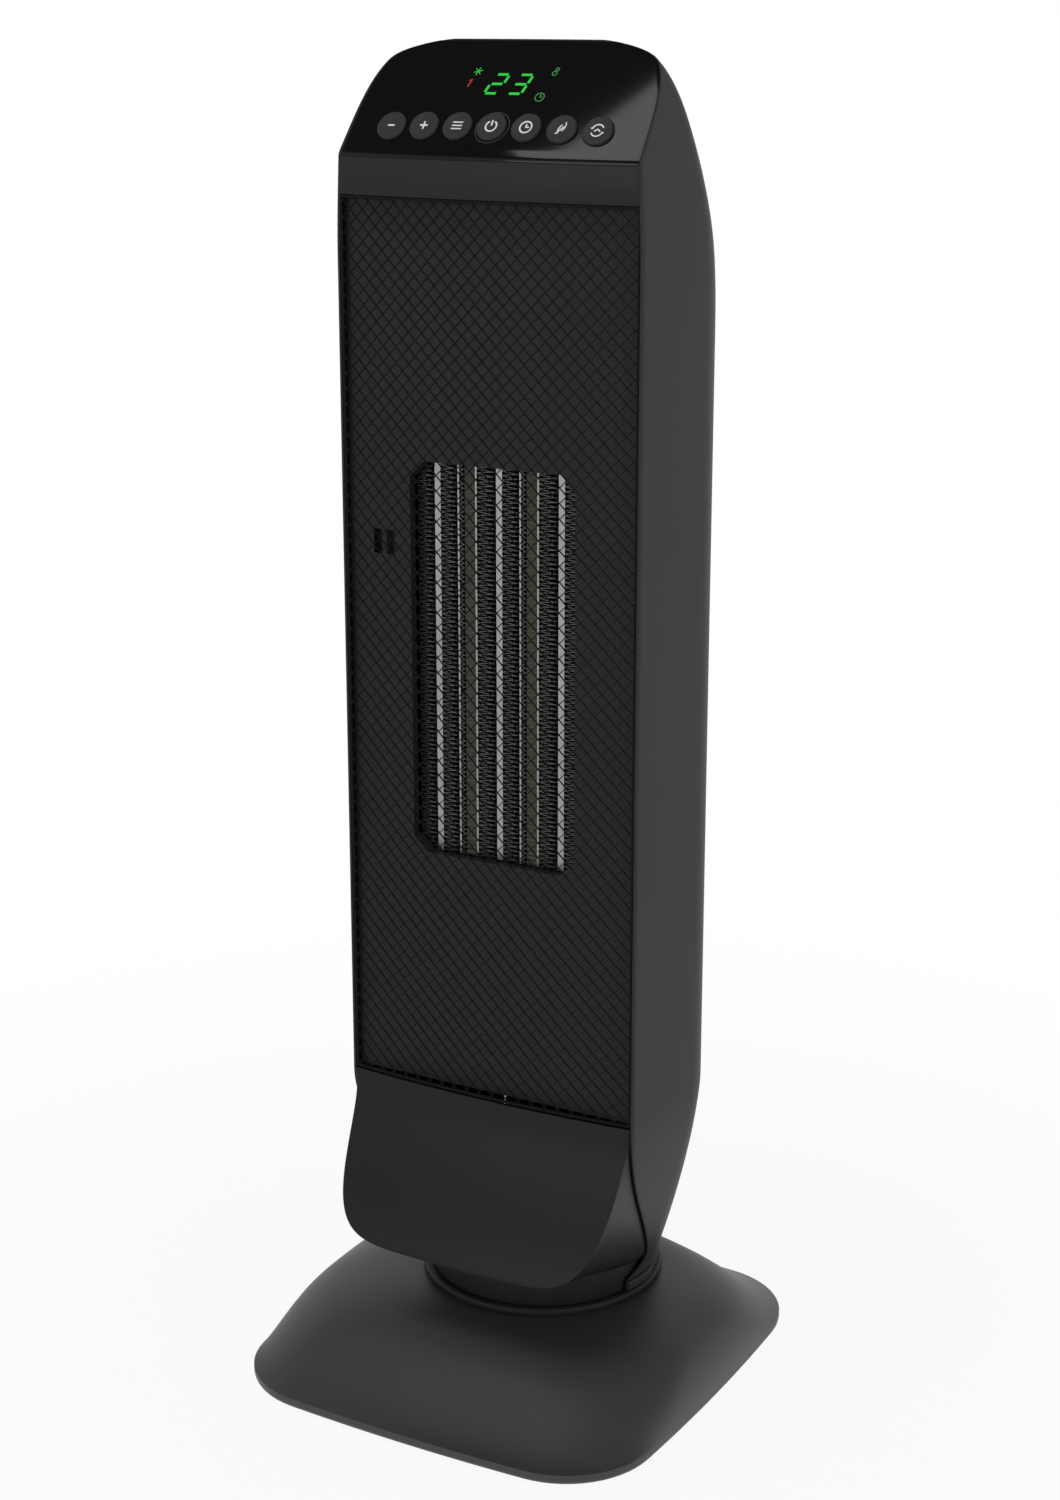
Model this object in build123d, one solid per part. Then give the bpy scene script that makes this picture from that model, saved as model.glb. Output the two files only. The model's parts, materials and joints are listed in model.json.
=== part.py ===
from build123d import *
import os
from math import cos, sin, radians, pi, sqrt, hypot, atan2, degrees

# Tower heater, in millimetres. The origin is the middle of the base's footprint on the floor, +Z is up,
# the front looks to -Y and the sides lie at +X and -X.

os.makedirs("parts", exist_ok=True)

# Fits shared by all pieces
fit_gap = 0.3           # between neighbouring pieces and round everything that moves
bearing_gap = 0.05      # radial play of a shaft in its bore
overrun = 5.0           # how far a cutting shape runs past what it cuts
reach = 400.0           # half size of a cutting region that has no outer end
quarter_turn = 90.0     # degrees

# Base
base_width = 223.2
base_depth = 232.2
base_low = 2.6          # the hull's lower edge above the floor
base_rim = 8.2          # height of its widest outline
base_top = 42.0         # flat top of the neck
base_corner = 46.7      # radius of the outline's corners at the rim
base_side_turn = 3.2    # degrees that half of one bowed side turns through
base_edge = 3.0         # rounding of the lower edge
base_wall = 3.0
crown_sections = 8
# powers that shape how the crown closes from the rim to the neck
crown_side_powers = (3.0, 0.61)
crown_front_powers = (0.68, 0.635)
crown_back_powers = (1.0, 2.0)
crown_corner_power = 2.6
post_inset = 40.0           # from the outline's widest lines to the post's middle
foot_inset = 27.0
neck_radius = 61.0
swivel_y = 22.0         # the swivel axis stands behind the middle of the base
foot_radius = 9.0
foot_height = 4.6
foot_recess = 2.0
plate_thickness = 3.0
plate_gap = 4.4         # between the base's widest outline and the plate's edge
post_radius = 4.5
screw_top = 17.0
screw_radius = 1.7
screw_head_radius = 3.4
screw_head_height = 2.0
screw_sides = 12        # so small a bar is made a prism
gland_radius = 4.5
gland_bore = 3.3
gland_level = 10.4
gland_length = 14.0
gland_setback = 16.1    # from the outline's back to the gland's inner end
tilt_box = (22.0, 14.0, 12.0)
tilt_box_x = 52.0
tilt_box_edge = 1.0

# Swivel
pivot_radius = 11.95
pivot_bore = 8.0
pivot_low = 23.8
bush_wall = 2.6
bush_low = 33.0
bush_flange = 3.0
bush_flange_height = 1.3
slide_ring_inner = 40.0
slide_ring_outer = 52.0
slide_ring_height = 1.3
ring_radius = 61.5      # the visible swivel ring
ring_low_radius = 58.0
ring_top = 50.6
ring_edge = 2.0
gear_module = 1.0
gear_teeth = 60
gear_sector_teeth = 19
gear_low = 25.6
gear_height = 6.0
tooth_root_share = 1.15     # of the module, below the pitch circle
tooth_tip_share = 0.85      # of the module, above it
root_half_share = 0.27      # of a tooth's pitch angle
tip_half_share = 0.11
pinion_teeth = 12
pinion_shaft_radius = 2.5
retainer_radius = 15.5
retainer_height = 1.4
motor_can_radius = 14.0
motor_can_height = 18.4
motor_ear_reach = 21.0
motor_ear_radius = 3.5
motor_ear_height = 1.2
shaft_depth = 3.0

# Tower outline
tower_half_width = 79.0
tower_wall = 2.3
tower_front = -32.0     # front edge of the side shells
tower_depth = 117.0     # from that edge to the back
flat_side_share = 0.564
neck_low = 51.0
shoulder_level = 150.0  # the neck's taper ends here
tower_top = 650.0
dome_height = 130.0     # from the start of the dome's curve to the top
slope_rise = 50.0       # height of the slanted panel
crest_y = 7.0           # the slanted panel's upper edge
# the neck closes downwards from the full outline to a circle round the swivel axis
neck_foot_radius = 59.5
neck_sections = 6
neck_width_powers = (1.6, 1.0)
neck_side_powers = (1.2, 1.4)
neck_back_powers = (6.0, 1.0)
# the dome closes from the full outline to these shares of it at the crest
crest_width_share = 0.65
crest_side_share = 0.25
crest_back_share = 0.372
dome_sections = 11
crest_width_powers = (10.0, 0.5)
crest_side_powers = (2.9, 1.65)
crest_back_powers = (2.2, 1.25)
# front edge of a side shell below the shoulder, which sweeps back to the swivel axis
front_edge_points = 7
front_edge_powers = (1.4, 2.0)
front_edge_overlap = 1.0    # how far behind the axis it ends
lip_width = 3.2         # low lip of the side shells, which runs forward round the neck
lip_height = 5.0
lip_front_y = -12.0
seam_half_width = 50.0  # the rear cover lies between these seams

# Front
front_bulge = 4.0       # how far the front stands out in its middle
grille_low = 151.5
trim_height = 18.6      # from the grille's top to the crease under the slanted panel
grille_thickness = 2.0
grille_border = 3.0
grille_pitch = 29.0     # diagonal of one diamond
grille_rib = 1.7
grille_folds = 6
baffle_setback = 7.0    # from the side shells' front edge
baffle_thickness = 1.5
window_width = 88.0
window_height = 191.0
window_middle = 365.5
window_chamfer = 7.5
slot_width = 4.6
slot_height = 11.8
slot_pitch = 7.0
slot_x = -58.6
slot_level = 421.0
trim_thickness = 2.5

# Lower front cover
chin_wall = 2.5
chin_top = 150.6
chin_bottom = 75.0
chin_reach = 38.0       # how far its lower edge stands before the side shells' front edge
chin_half_width = 76.3
chin_height = chin_top - chin_bottom
# front face from its top down: height above the lower edge, and reach forward
chin_face_shares = ((1.0, 0.10), (0.87, 0.15), (0.73, 0.24), (0.595, 0.365), (0.46, 0.53), (0.33, 0.68),
                    (0.2, 0.81), (0.06, 0.95))
chin_lip_share = 0.98
# its lower corner from the side to the middle: half width and height above the lower edge
chin_corner_shares = ((1.0, 0.36), (0.975, 0.24), (0.92, 0.14), (0.83, 0.065), (0.66, 0.018), (0.0, 0.0))
chin_slope_share = 0.45 # fall of its underside towards the neck, per length
chin_heel_share = 0.9   # how far down the neck its underside ends
chin_side_gap = 1.4     # its sides lie this far inside the side shells' faces
neck_skirt_radius = 56.8
neck_skirt_top = 84.0

# Control panel
panel_thickness_y = 3.2
panel_top_bulge = 0.6
button_radius = 7.25
button_pitch = 17.6
button_row = 14.0       # up the slope from the crease
button_proud = 1.5
button_edge = 0.5
button_travel = 0.8
button_flange = 0.7     # how far the square lug under the panel stands out
button_flange_height = 1.2
flange_gap = 0.6
stem_half = 1.8
button_names = ("minus", "plus", "mode", "power", "timer", "eco", "swing")
board_depth = 7.4
board_thickness = 1.6
board_half_width = 66.0
board_low = 5.0
board_high = 46.0
board_corner = 15.7
switch_side = 6.0
switch_height = 3.0
boss_half = 2.2
boss_places = ((67.0, 9.0), (52.0, 40.0))
display_half_width = 26.0
display_low = 29.0
display_high = 45.5
display_top = 1.5       # below the panel's plane

# Heater
heater_front = -20.5
heater_depth = 11.5
heater_frame_wall = 4.6
heater_frame_front = 2.7
bar_pitch = 33.2
bar_width = 3.2
plate_width = 0.9
inner_fin_width = 9.2
narrow_fin_width = 3.0
stone_width = 5.6
fin_pitch = 12.4
fin_thickness = 0.8
stone_height = 34.0
stone_gap = 2.6
terminal_size = (4.8, 0.8, 7.0)
terminal_pitch = 27.0
cutout_radius = 7.0
cutout_height = 6.0
cutout_x = -14.0

# Blower
bulkhead_thickness = 3.0
lower_bulkhead = 260.0
upper_bulkhead = 467.0
wheel_y = 38.0
wheel_radius = 29.0
wheel_low = 269.0
wheel_high = 461.0
wheel_disc = 1.6
wheel_blades = 18
blade_inner_share = 0.76
blade_thickness = 1.1
blade_lean = 28.0       # degrees
blade_bend_share = 0.3
shaft_radius = 3.0
hub_radius = 7.0
bearing_radius = 8.0
bearing_height = 6.0
blower_motor_radius = 26.0
blower_motor_height = 30.0
motor_bell_height = 7.0
motor_bell_radius = 17.0
bracket_width = 66.0
bracket_depth = 24.0
bracket_thickness = 2.0
scroll_wall = 2.0
scroll_gap = 5.5        # from the wheel to the rear guide where they are closest
scroll_start = 75.0     # degrees round the wheel
scroll_turn = 104.0
scroll_growth = 9.0     # how much wider the rear guide's second arc is
tongue_gap = 2.2
tongue_start = 10.0
tongue_turn = 34.0

# Boards and sensor
power_board_width = 84.0
power_board_height = 76.0
power_board_y = 18.0
relay_size = (16.0, 15.0, 20.0)
relay_pitch = 25.0
relay_up = 14.0
sensor_size = (16.0, 5.0, 18.0)

# Back
intake_half_width = 31.0
intake_low = 186.0
intake_high = 504.0
intake_gap = 0.4
intake_rows = 20
intake_slot_height = 7.0
intake_middle_bar = 5.0
intake_border = 4.5
ledge_width = 5.0
ledge_thickness = 1.8
filter_border = 5.0
filter_thickness = 2.0
filter_mesh_thickness = 0.5
filter_gap = 2.2        # between the intake window's edge and the filter's frame
handle_half_width = 38.0
handle_height = 30.0
handle_drop = 50.0      # below the top
handle_floor = 36.0
handle_wall = 2.0
switch_level = 116.0
switch_half_width = 13.6
switch_half_height = 11.0
switch_flange = 1.8
switch_flange_depth = 1.4
switch_depth = 15.0
rocker_half_width = 10.6
rocker_setback = 3.5    # from the tower's back to the rocker's axis
rocker_angle = 8.0
rocker_tip = 5.6
rocker_dip = 4.3
rocker_half_height = 7.6
rocker_pin_radius = 1.6

# Sizes that follow from those above
swivel = Pos(0, swivel_y)
gland_y = base_depth / 2 - gland_setback
neck_height = shoulder_level - neck_low
dome_level = tower_top - dome_height
crease_level = tower_top - slope_rise
grille_top = crease_level - trim_height
handle_high = tower_top - handle_drop
handle_low = handle_high - handle_height
tower_back = tower_front + tower_depth
rocker_pivot_y = tower_back - rocker_setback
inner_half_width = tower_half_width - tower_wall
front_half_width = inner_half_width - fit_gap
slope_run = crest_y - tower_front
slope_length = hypot(slope_run, slope_rise)
slope_cos = slope_rise / slope_length
slope_sin = slope_run / slope_length
slope_degrees = degrees(atan2(slope_run, slope_rise))
panel_plane = Plane(origin=(0, tower_front, crease_level), x_dir=(1, 0, 0), z_dir=(0, -slope_cos, slope_sin))
panel_thickness = panel_thickness_y * slope_cos
ring_low = base_top + slide_ring_height + fit_gap
gear_radius = gear_module * gear_teeth / 2
pinion_radius = gear_module * pinion_teeth / 2
pinion_y = swivel_y + gear_radius + pinion_radius
plate_top = base_low + plate_thickness
window_low = window_middle - window_height / 2
window_high = window_middle + window_height / 2
baffle_y = tower_front + baffle_setback
heater_back = heater_front + heater_depth
heater_frame_y = heater_front - heater_frame_front
heater_frame_half_width = window_width / 2 + heater_frame_wall


def column(radius, low, high, x=0, y=0):
    """Upright round bar between two heights."""
    return Pos(x, y, low) * Cylinder(radius, high - low, align=(Align.CENTER, Align.CENTER, Align.MIN))


def backward_column(radius, length, x, y, z):
    """Round bar that runs back from its front end."""
    bar = Cylinder(radius, length, align=(Align.CENTER, Align.CENTER, Align.MIN))
    return Pos(x, y, z) * Rot(-quarter_turn, 0, 0) * bar


def tube(outer, inner, low, high, x=0, y=0):
    return column(outer, low, high, x, y) - column(inner, low - overrun, high + overrun, x, y)


def block(x_span, y_span, z_span):
    """Box given by its lowest and highest place along each axis."""
    sides = [high - low for low, high in (x_span, y_span, z_span)]
    corner = Pos(x_span[0], y_span[0], z_span[0])
    return corner * Box(*sides, align=(Align.MIN, Align.MIN, Align.MIN))


def side_prism(outline, half_width):
    """Outline in Y and Z, carried across the width."""
    return extrude(Plane.YZ * make_face(outline), amount=half_width, both=True)


def front_prism(sketch, y_low, y_high):
    """Sketch in X and Z, carried from one depth to another."""
    return extrude(Plane.XZ.offset(-y_low) * sketch, amount=y_high - y_low, dir=(0, 1, 0))


def save(node, solid):
    solid.label = node
    export_step(solid, f"parts/{node}.step")


# Base

def soft_square(half_x, half_y, corner, middle_y, level, inset=0):
    """Footprint of eight tangent arcs: four bowed sides and four round corners."""
    rise, drop = sin(radians(base_side_turn)), 1 - cos(radians(base_side_turn))
    free_x, free_y = half_x - corner, half_y - corner
    spread = rise ** 2 - drop ** 2
    # how much larger than the corners' radius that of the front and back is, and that of the sides
    long_y = (free_x * rise - free_y * drop) / spread
    long_x = (free_y * rise - free_x * drop) / spread
    arcs = []
    for quarter, sign_x, sign_y in ((0, 1, 1), (1, -1, 1), (2, -1, -1), (3, 1, -1)):
        middle = (sign_x * long_y * rise, middle_y + sign_y * long_x * rise)
        start = quarter_turn * quarter + base_side_turn
        arcs.append(CenterArc(middle, corner - inset, start, quarter_turn - 2 * base_side_turn))
        if quarter % 2 == 0:
            centre, larger = (0, middle_y + sign_y * (half_y - corner - long_y)), long_y
        else:
            centre, larger = (sign_x * (half_x - corner - long_x), middle_y), long_x
        start = quarter_turn * (quarter + 1) - base_side_turn
        arcs.append(CenterArc(centre, corner + larger - inset, start, 2 * base_side_turn))
    return Plane.XY.offset(level) * Face(Wire(arcs))


def base_hull(inset, drop, straight):
    """Hull of the base down to its lower edge, or the smaller hollow in it, straight between levels."""
    faces = []
    for index in range(crown_sections):
        up = 1 - (1 - index / (crown_sections - 1)) ** 2
        side = closing_share(up, crown_side_powers, 0)
        front = closing_share(up, crown_front_powers, 0)
        back = closing_share(up, crown_back_powers, 0)
        half_x = neck_radius + side * (base_width / 2 - neck_radius)
        front_y = swivel_y - neck_radius - front * (base_depth / 2 + swivel_y - neck_radius)
        back_y = swivel_y + neck_radius + back * (base_depth / 2 - swivel_y - neck_radius)
        spread = (side + front + back) / 3
        corner = neck_radius + (base_corner - neck_radius) * spread ** crown_corner_power
        level = base_rim + up * (base_top - base_rim) - drop
        half_y, middle_y = (back_y - front_y) / 2, (back_y + front_y) / 2
        faces.append(soft_square(half_x, half_y, corner, middle_y, level, inset))
    return loft(faces, ruled=straight) + extrude(faces[0], amount=base_rim - base_low, dir=(0, 0, -1))


def four_corners(inset):
    """Same place in each quarter of the base."""
    x, y = base_width / 2 - inset, base_depth / 2 - inset
    return [(side_x * x, side_y * y) for side_x in (-1, 1) for side_y in (-1, 1)]


def base_housing():
    hull = base_hull(0, 0, False)
    hull = fillet(hull.faces().sort_by(Axis.Z)[0].edges(), base_edge)
    body = hull - base_hull(base_wall, base_wall, True)
    for x, y in four_corners(post_inset):
        body += column(post_radius, plate_top, base_top, x, y) & hull
        body -= column(screw_radius + bearing_gap, 0, screw_top + screw_head_height, x, y)
    body -= column(pivot_radius + bearing_gap + bush_wall, 0, base_top + overrun, 0, swivel_y)
    return body - backward_column(gland_radius + bearing_gap, base_depth, 0, gland_y, gland_level)


def base_plate():
    outline = soft_square(base_width / 2, base_depth / 2, base_corner, 0, base_low, plate_gap)
    plate = extrude(outline, amount=plate_thickness)
    for x, y in four_corners(foot_inset):
        plate -= column(foot_radius + bearing_gap, 0, base_low + foot_recess, x, y)
    for x, y in four_corners(post_inset):
        plate -= column(screw_head_radius + fit_gap, 0, base_low + screw_head_height, x, y)
        plate -= column(screw_radius + bearing_gap, 0, plate_top + overrun, x, y)
    return plate


def rubber_feet():
    return Compound(children=[column(foot_radius, 0, foot_height, x, y) for x, y in four_corners(foot_inset)])


def base_plate_screws():
    screws = []
    for x, y in four_corners(post_inset):
        place = Pos(x, y, base_low)
        head = extrude(place * RegularPolygon(screw_head_radius, screw_sides), amount=screw_head_height)
        shaft = extrude(place * RegularPolygon(screw_radius, screw_sides), amount=screw_top - base_low)
        screws.append(head + shaft)
    return Compound(children=screws)


def cord_gland():
    body = backward_column(gland_radius, gland_length, 0, gland_y, gland_level)
    return body - backward_column(gland_bore, gland_length + overrun, 0, gland_y - overrun / 2, gland_level)


def tilt_switch():
    place = Pos(tilt_box_x, swivel_y, plate_top)
    box = place * Box(*tilt_box, align=(Align.CENTER, Align.CENTER, Align.MIN))
    return chamfer(box.edges().group_by(Axis.Z)[-1], tilt_box_edge)


# Swivel

def toothed_wheel(teeth, shown, bore, low, height, start):
    """Spur gear blank with straight flanks; teeth that are not shown are left off."""
    pitch_radius = gear_module * teeth / 2
    root = pitch_radius - tooth_root_share * gear_module
    tip = pitch_radius + tooth_tip_share * gear_module
    step = 2 * pi / teeth
    root_half, tip_half = root_half_share * step, tip_half_share * step
    wheel = column(root, low, low + height)
    first = start - step * (shown - 1) / 2
    for index in range(shown):
        middle = first + index * step
        corners = []
        for radius, angle in ((root - gear_module, -root_half), (root, -root_half), (tip, -tip_half),
                              (tip, tip_half), (root, root_half), (root - gear_module, root_half)):
            corners.append((radius * cos(middle + angle), radius * sin(middle + angle)))
        tooth = Plane.XY.offset(low) * make_face(Polyline(*corners, close=True))
        wheel += extrude(tooth, amount=height)
    if bore:
        wheel -= column(bore, low - overrun, low + height + overrun)
    return wheel


def swivel_gear():
    bore = pivot_radius + bearing_gap
    return swivel * toothed_wheel(gear_teeth, gear_sector_teeth, bore, gear_low, gear_height, pi / 2)


def swivel_pinion():
    wheel = toothed_wheel(pinion_teeth, pinion_teeth, 0, gear_low, gear_height, -pi / 2)
    motor_top = plate_top + motor_can_height
    wheel += column(pinion_shaft_radius, motor_top - shaft_depth, gear_low + gear_height)
    return Pos(0, pinion_y) * wheel


def swivel_motor():
    motor_top = plate_top + motor_can_height
    can = column(motor_can_radius, plate_top, motor_top)
    ears = []
    ear_x = motor_ear_reach - motor_ear_radius
    ear_low = motor_top - motor_ear_height
    for side in (-1, 1):
        ears.append(column(motor_ear_radius, ear_low, motor_top, side * ear_x))
    strap = block((-ear_x, ear_x), (-motor_ear_radius, motor_ear_radius), (ear_low, motor_top))
    motor = can + strap
    for ear in ears:
        motor += ear
    bore_low = motor_top - shaft_depth - bearing_gap
    motor -= column(pinion_shaft_radius + bearing_gap, bore_low, motor_top + overrun)
    return Pos(0, pinion_y) * motor


def turntable():
    """Flared swivel ring with a hollow pivot under it."""
    outline = Polyline(
        (pivot_bore, pivot_low), (pivot_radius, pivot_low), (pivot_radius, ring_low),
        (ring_low_radius, ring_low), (ring_radius, ring_top - 2 * ring_edge),
        (ring_radius, ring_top - ring_edge / 2),
        (ring_radius - ring_edge / 2, ring_top), (pivot_bore, ring_top), close=True)
    return swivel * revolve(Plane.XZ * make_face(outline), Axis.Z)


def pivot_bush():
    inner = pivot_radius + bearing_gap
    body = tube(inner + bush_wall, inner, bush_low, base_top, 0, swivel_y)
    flange_top = base_top + bush_flange_height
    return body + tube(inner + bush_wall + bush_flange, inner, base_top, flange_top, 0, swivel_y)


def slide_ring():
    return tube(slide_ring_outer, slide_ring_inner, base_top, base_top + slide_ring_height, 0, swivel_y)


def gear_retainer():
    inner = pivot_radius + bearing_gap
    return tube(retainer_radius, inner, gear_low - retainer_height, gear_low, 0, swivel_y)


# Tower shells

def tower_section(wide, flat, back, level, inset):
    """Plan of the tower at one height: straight front and sides, elliptical back."""
    half = wide * tower_half_width - inset
    side_end = tower_front + flat * tower_depth
    depth = tower_front + back * tower_depth - inset - side_end
    front = tower_front - overrun * 2
    sides = Polyline((-half, side_end), (-half, front), (half, front), (half, side_end))
    rear = EllipticalCenterArc((0, side_end), half, depth, arc_size=2 * quarter_turn)
    return Plane.XY.offset(level) * make_face(sides + rear)


def closing_share(up, powers, last_share, first_share=1.0):
    """Share that falls from the first to the last as the dome closes."""
    rise, fall = powers
    return last_share + (first_share - last_share) * (1 - up ** rise) ** fall


def neck_shape(down):
    """Half width, end of the flat side and back at a depth below the shoulder, as shares."""
    width = closing_share(down, neck_width_powers, neck_foot_radius / tower_half_width)
    side_end = closing_share(down, neck_side_powers, (swivel_y - tower_front) / tower_depth, flat_side_share)
    foot_back = (swivel_y + neck_foot_radius - tower_front) / tower_depth
    return width, side_end, closing_share(down, neck_back_powers, foot_back)


def dome_shape(up):
    """The same at a height up the dome."""
    width = closing_share(up, crest_width_powers, crest_width_share)
    side_end = closing_share(up, crest_side_powers, crest_side_share, flat_side_share)
    return width, side_end, closing_share(up, crest_back_powers, crest_back_share)


def tower_volume(inset, top_drop=0):
    """Tower from the neck to the crest, set in by a wall where one is left."""
    neck = []
    for index in range(neck_sections):
        up = index / (neck_sections - 1)
        neck.append(tower_section(*neck_shape(1 - up), neck_low + up * neck_height, inset))
    dome = []
    for index in range(dome_sections):
        up = sin(pi / 2 * index / (dome_sections - 1))
        level = dome_level + up * (dome_height - top_drop)
        dome.append(tower_section(*dome_shape(up), level, inset))
    middle = extrude(neck[-1], amount=dome_level - shoulder_level, dir=(0, 0, 1))
    return loft(neck) + middle + loft(dome)


def before_front():
    """All the space in front of the side shells' edges."""
    foot_y = swivel_y + front_edge_overlap
    points = []
    for index in range(front_edge_points):
        up = index / front_edge_points
        y = closing_share(up, front_edge_powers, tower_front, foot_y)
        points.append((y, neck_low + up * neck_height))
    foot = (foot_y, -reach)
    shoulder = (tower_front, shoulder_level)
    edge = Polyline(foot, points[0]) + Spline(*points, shoulder)
    over = reach / slope_rise
    beyond = (crest_y + over * slope_run, tower_top + over * slope_rise)
    crease = (tower_front, crease_level)
    rest = Polyline(shoulder, crease, beyond, (-reach, beyond[1]), (-reach, -reach), foot)
    return side_prism(edge + rest, reach)


tower_hollow = tower_volume(tower_wall, tower_wall)
tower_wall_solid = tower_volume(0) - tower_hollow
front_space = before_front()
tower_shell = tower_wall_solid - front_space


def neck_lip():
    """Low lip round the neck that carries on in front of the side shells."""
    ring = tube(neck_foot_radius + lip_width / 2, neck_foot_radius - tower_wall,
                neck_low, neck_low + lip_height, 0, swivel_y)
    return ring - block((-reach, reach), (-reach, lip_front_y), (0, reach))


def side_shell(side):
    half = seam_half_width + fit_gap / 2
    keep = block((half, reach), (-reach, reach), (0, tower_top + reach))
    if side < 0:
        keep = mirror(keep, Plane.YZ)
    shell = tower_shell & keep
    x_span = (0, reach) if side > 0 else (-reach, 0)
    return shell + (neck_lip() & block(x_span, (-reach, swivel_y + lip_height), (0, reach)))


def straight_wall(half_width, low, high, outer_inset, inner_inset):
    """Stretch of the tower's wall between its shoulder and its dome, no wider than half_width."""
    height = high - low
    outer = extrude(tower_section(*neck_shape(0), low, outer_inset), amount=height)
    inner = extrude(tower_section(*neck_shape(0), low - overrun, inner_inset), amount=height + 2 * overrun)
    return (outer - inner) & block((-half_width, half_width), (0, reach), (low, high))


def rear_cover():
    half = seam_half_width - fit_gap / 2
    cover = tower_shell & block((-half, half), (0, reach), (0, tower_top + reach))
    window = block((-intake_half_width, intake_half_width), (0, reach), (intake_low, intake_high))
    cover -= window
    ledge_low, ledge_high = intake_low - ledge_width, intake_high + ledge_width
    ledge = straight_wall(intake_half_width + ledge_width, ledge_low, ledge_high,
                          tower_wall, tower_wall + ledge_thickness)
    rim_half = intake_half_width - intake_gap
    ledge -= block((-rim_half + filter_gap, rim_half - filter_gap), (0, reach),
                   (intake_low + filter_gap, intake_high - filter_gap))
    cover += ledge
    # hand recess
    outer_x = handle_half_width + handle_wall
    outer = block((-outer_x, outer_x), (handle_floor - handle_wall, tower_back),
                  (handle_low - handle_wall, handle_high + handle_wall))
    cover += outer & tower_hollow
    cover -= block((-handle_half_width, handle_half_width), (handle_floor, reach), (handle_low, handle_high))
    # hole for the main switch
    hole_x = switch_half_width + bearing_gap
    hole_z = switch_half_height + bearing_gap
    return cover - block((-hole_x, hole_x), (0, reach), (switch_level - hole_z, switch_level + hole_z))


def intake_grille():
    low, high = intake_low + intake_gap, intake_high - intake_gap
    half = intake_half_width - intake_gap
    panel = straight_wall(half, low, high, 0, tower_wall)
    usable = high - low - 2 * intake_border
    pitch = usable / intake_rows
    slots = []
    for row in range(intake_rows):
        middle = low + intake_border + (row + 0.5) * pitch
        span = (middle - intake_slot_height / 2, middle + intake_slot_height / 2)
        for side in (-1, 1):
            near, far = intake_middle_bar / 2, half - intake_border
            x_span = (near, far) if side > 0 else (-far, -near)
            slots.append(block(x_span, (0, reach), span))
    return panel - slots


filter_half_width = intake_half_width - filter_gap - intake_gap
filter_low = intake_low + filter_gap + intake_gap
filter_high = intake_high - filter_gap - intake_gap


def filter_seat_y():
    """Where a flat frame of the filter's width meets the inside of the curved intake grille."""
    half = tower_half_width - tower_wall
    side_end = tower_front + flat_side_share * tower_depth
    depth = tower_back - tower_wall - side_end
    return side_end + depth * sqrt(1 - (filter_half_width / half) ** 2) - bearing_gap


def filter_panes():
    """Levels of the two halves of the filter, below and above its middle bar."""
    middle = (filter_low + filter_high) / 2
    bar = filter_border / 2
    return (filter_low + filter_border, middle - bar), (middle + bar, filter_high - filter_border)


def filter_frame():
    back = filter_seat_y()
    front = back - filter_thickness
    frame = block((-filter_half_width, filter_half_width), (front, back), (filter_low, filter_high))
    inner = filter_half_width - filter_border
    for low, high in filter_panes():
        frame -= block((-inner, inner), (0, reach), (low, high))
    return frame


def filter_mesh():
    """Fine mesh sheets inside the two halves of the filter's frame."""
    back = filter_seat_y() - filter_thickness / 2 + filter_mesh_thickness / 2
    inner = filter_half_width - filter_border
    sheets = []
    for low, high in filter_panes():
        sheets.append(block((-inner, inner), (back - filter_mesh_thickness, back), (low, high)))
    return Compound(children=sheets)


# Front pieces

def front_arc(half_width, bulge, front):
    return ThreePointArc((-half_width, front), (0, front - bulge), (half_width, front))


def front_band(half_width, bulge, front, thickness, low, high):
    """Upright plate that is slightly bowed in plan."""
    outer = front_arc(half_width, bulge, front)
    inner = front_arc(half_width, bulge, front + thickness)
    ends = [Line(outer @ end, inner @ end) for end in (0, 1)]
    face = make_face(outer + inner + ends[0] + ends[1])
    return extrude(Plane.XY.offset(low) * face, amount=high - low)


def front_grille():
    """Mesh plate: a border and a net of diamonds, folded in flat strips along the front's bow."""
    bow = front_arc(front_half_width, front_bulge, tower_front)
    corners = [bow @ (index / grille_folds) for index in range(grille_folds + 1)]
    outer = [(corner.X, corner.Y) for corner in corners]
    inner = [(x, y + grille_thickness) for x, y in reversed(outer)]
    band = extrude(Plane.XY.offset(grille_low) * make_face(Polyline(*outer, *inner, close=True)),
                   amount=grille_top - grille_low)
    half_diagonal = grille_pitch / 2 - grille_rib / sqrt(2)
    middle = (grille_low + grille_top) / 2
    reach_x = front_half_width - grille_border
    reach_z = (grille_top - grille_low) / 2 - grille_border
    diamonds = []
    columns = int(reach_x / (grille_pitch / 2)) + 1
    rows = int(reach_z / (grille_pitch / 2)) + 1
    for column_index in range(-columns, columns + 1):
        for row_index in range(-rows, rows + 1):
            x, z = column_index * grille_pitch / 2, row_index * grille_pitch / 2
            inside = abs(x) + half_diagonal <= reach_x and abs(z) + half_diagonal <= reach_z
            if (column_index + row_index) % 2 == 0 and inside:
                outline = Polyline((x - half_diagonal, z), (x, z - half_diagonal), (x + half_diagonal, z),
                                   (x, z + half_diagonal), close=True)
                diamonds.append(make_face(outline))
    net = Rectangle(2 * front_half_width, grille_top - grille_low) - diamonds
    thick = front_prism(Pos(0, middle) * net, tower_front - 2 * front_bulge, baffle_y)
    return band & thick


def upper_trim():
    return front_band(front_half_width, front_bulge, tower_front, trim_thickness,
                      grille_top + fit_gap, crease_level - fit_gap)


def chamfered_window(width, height, corner):
    window = Rectangle(width, height)
    return chamfer(window.vertices(), corner)


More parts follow.
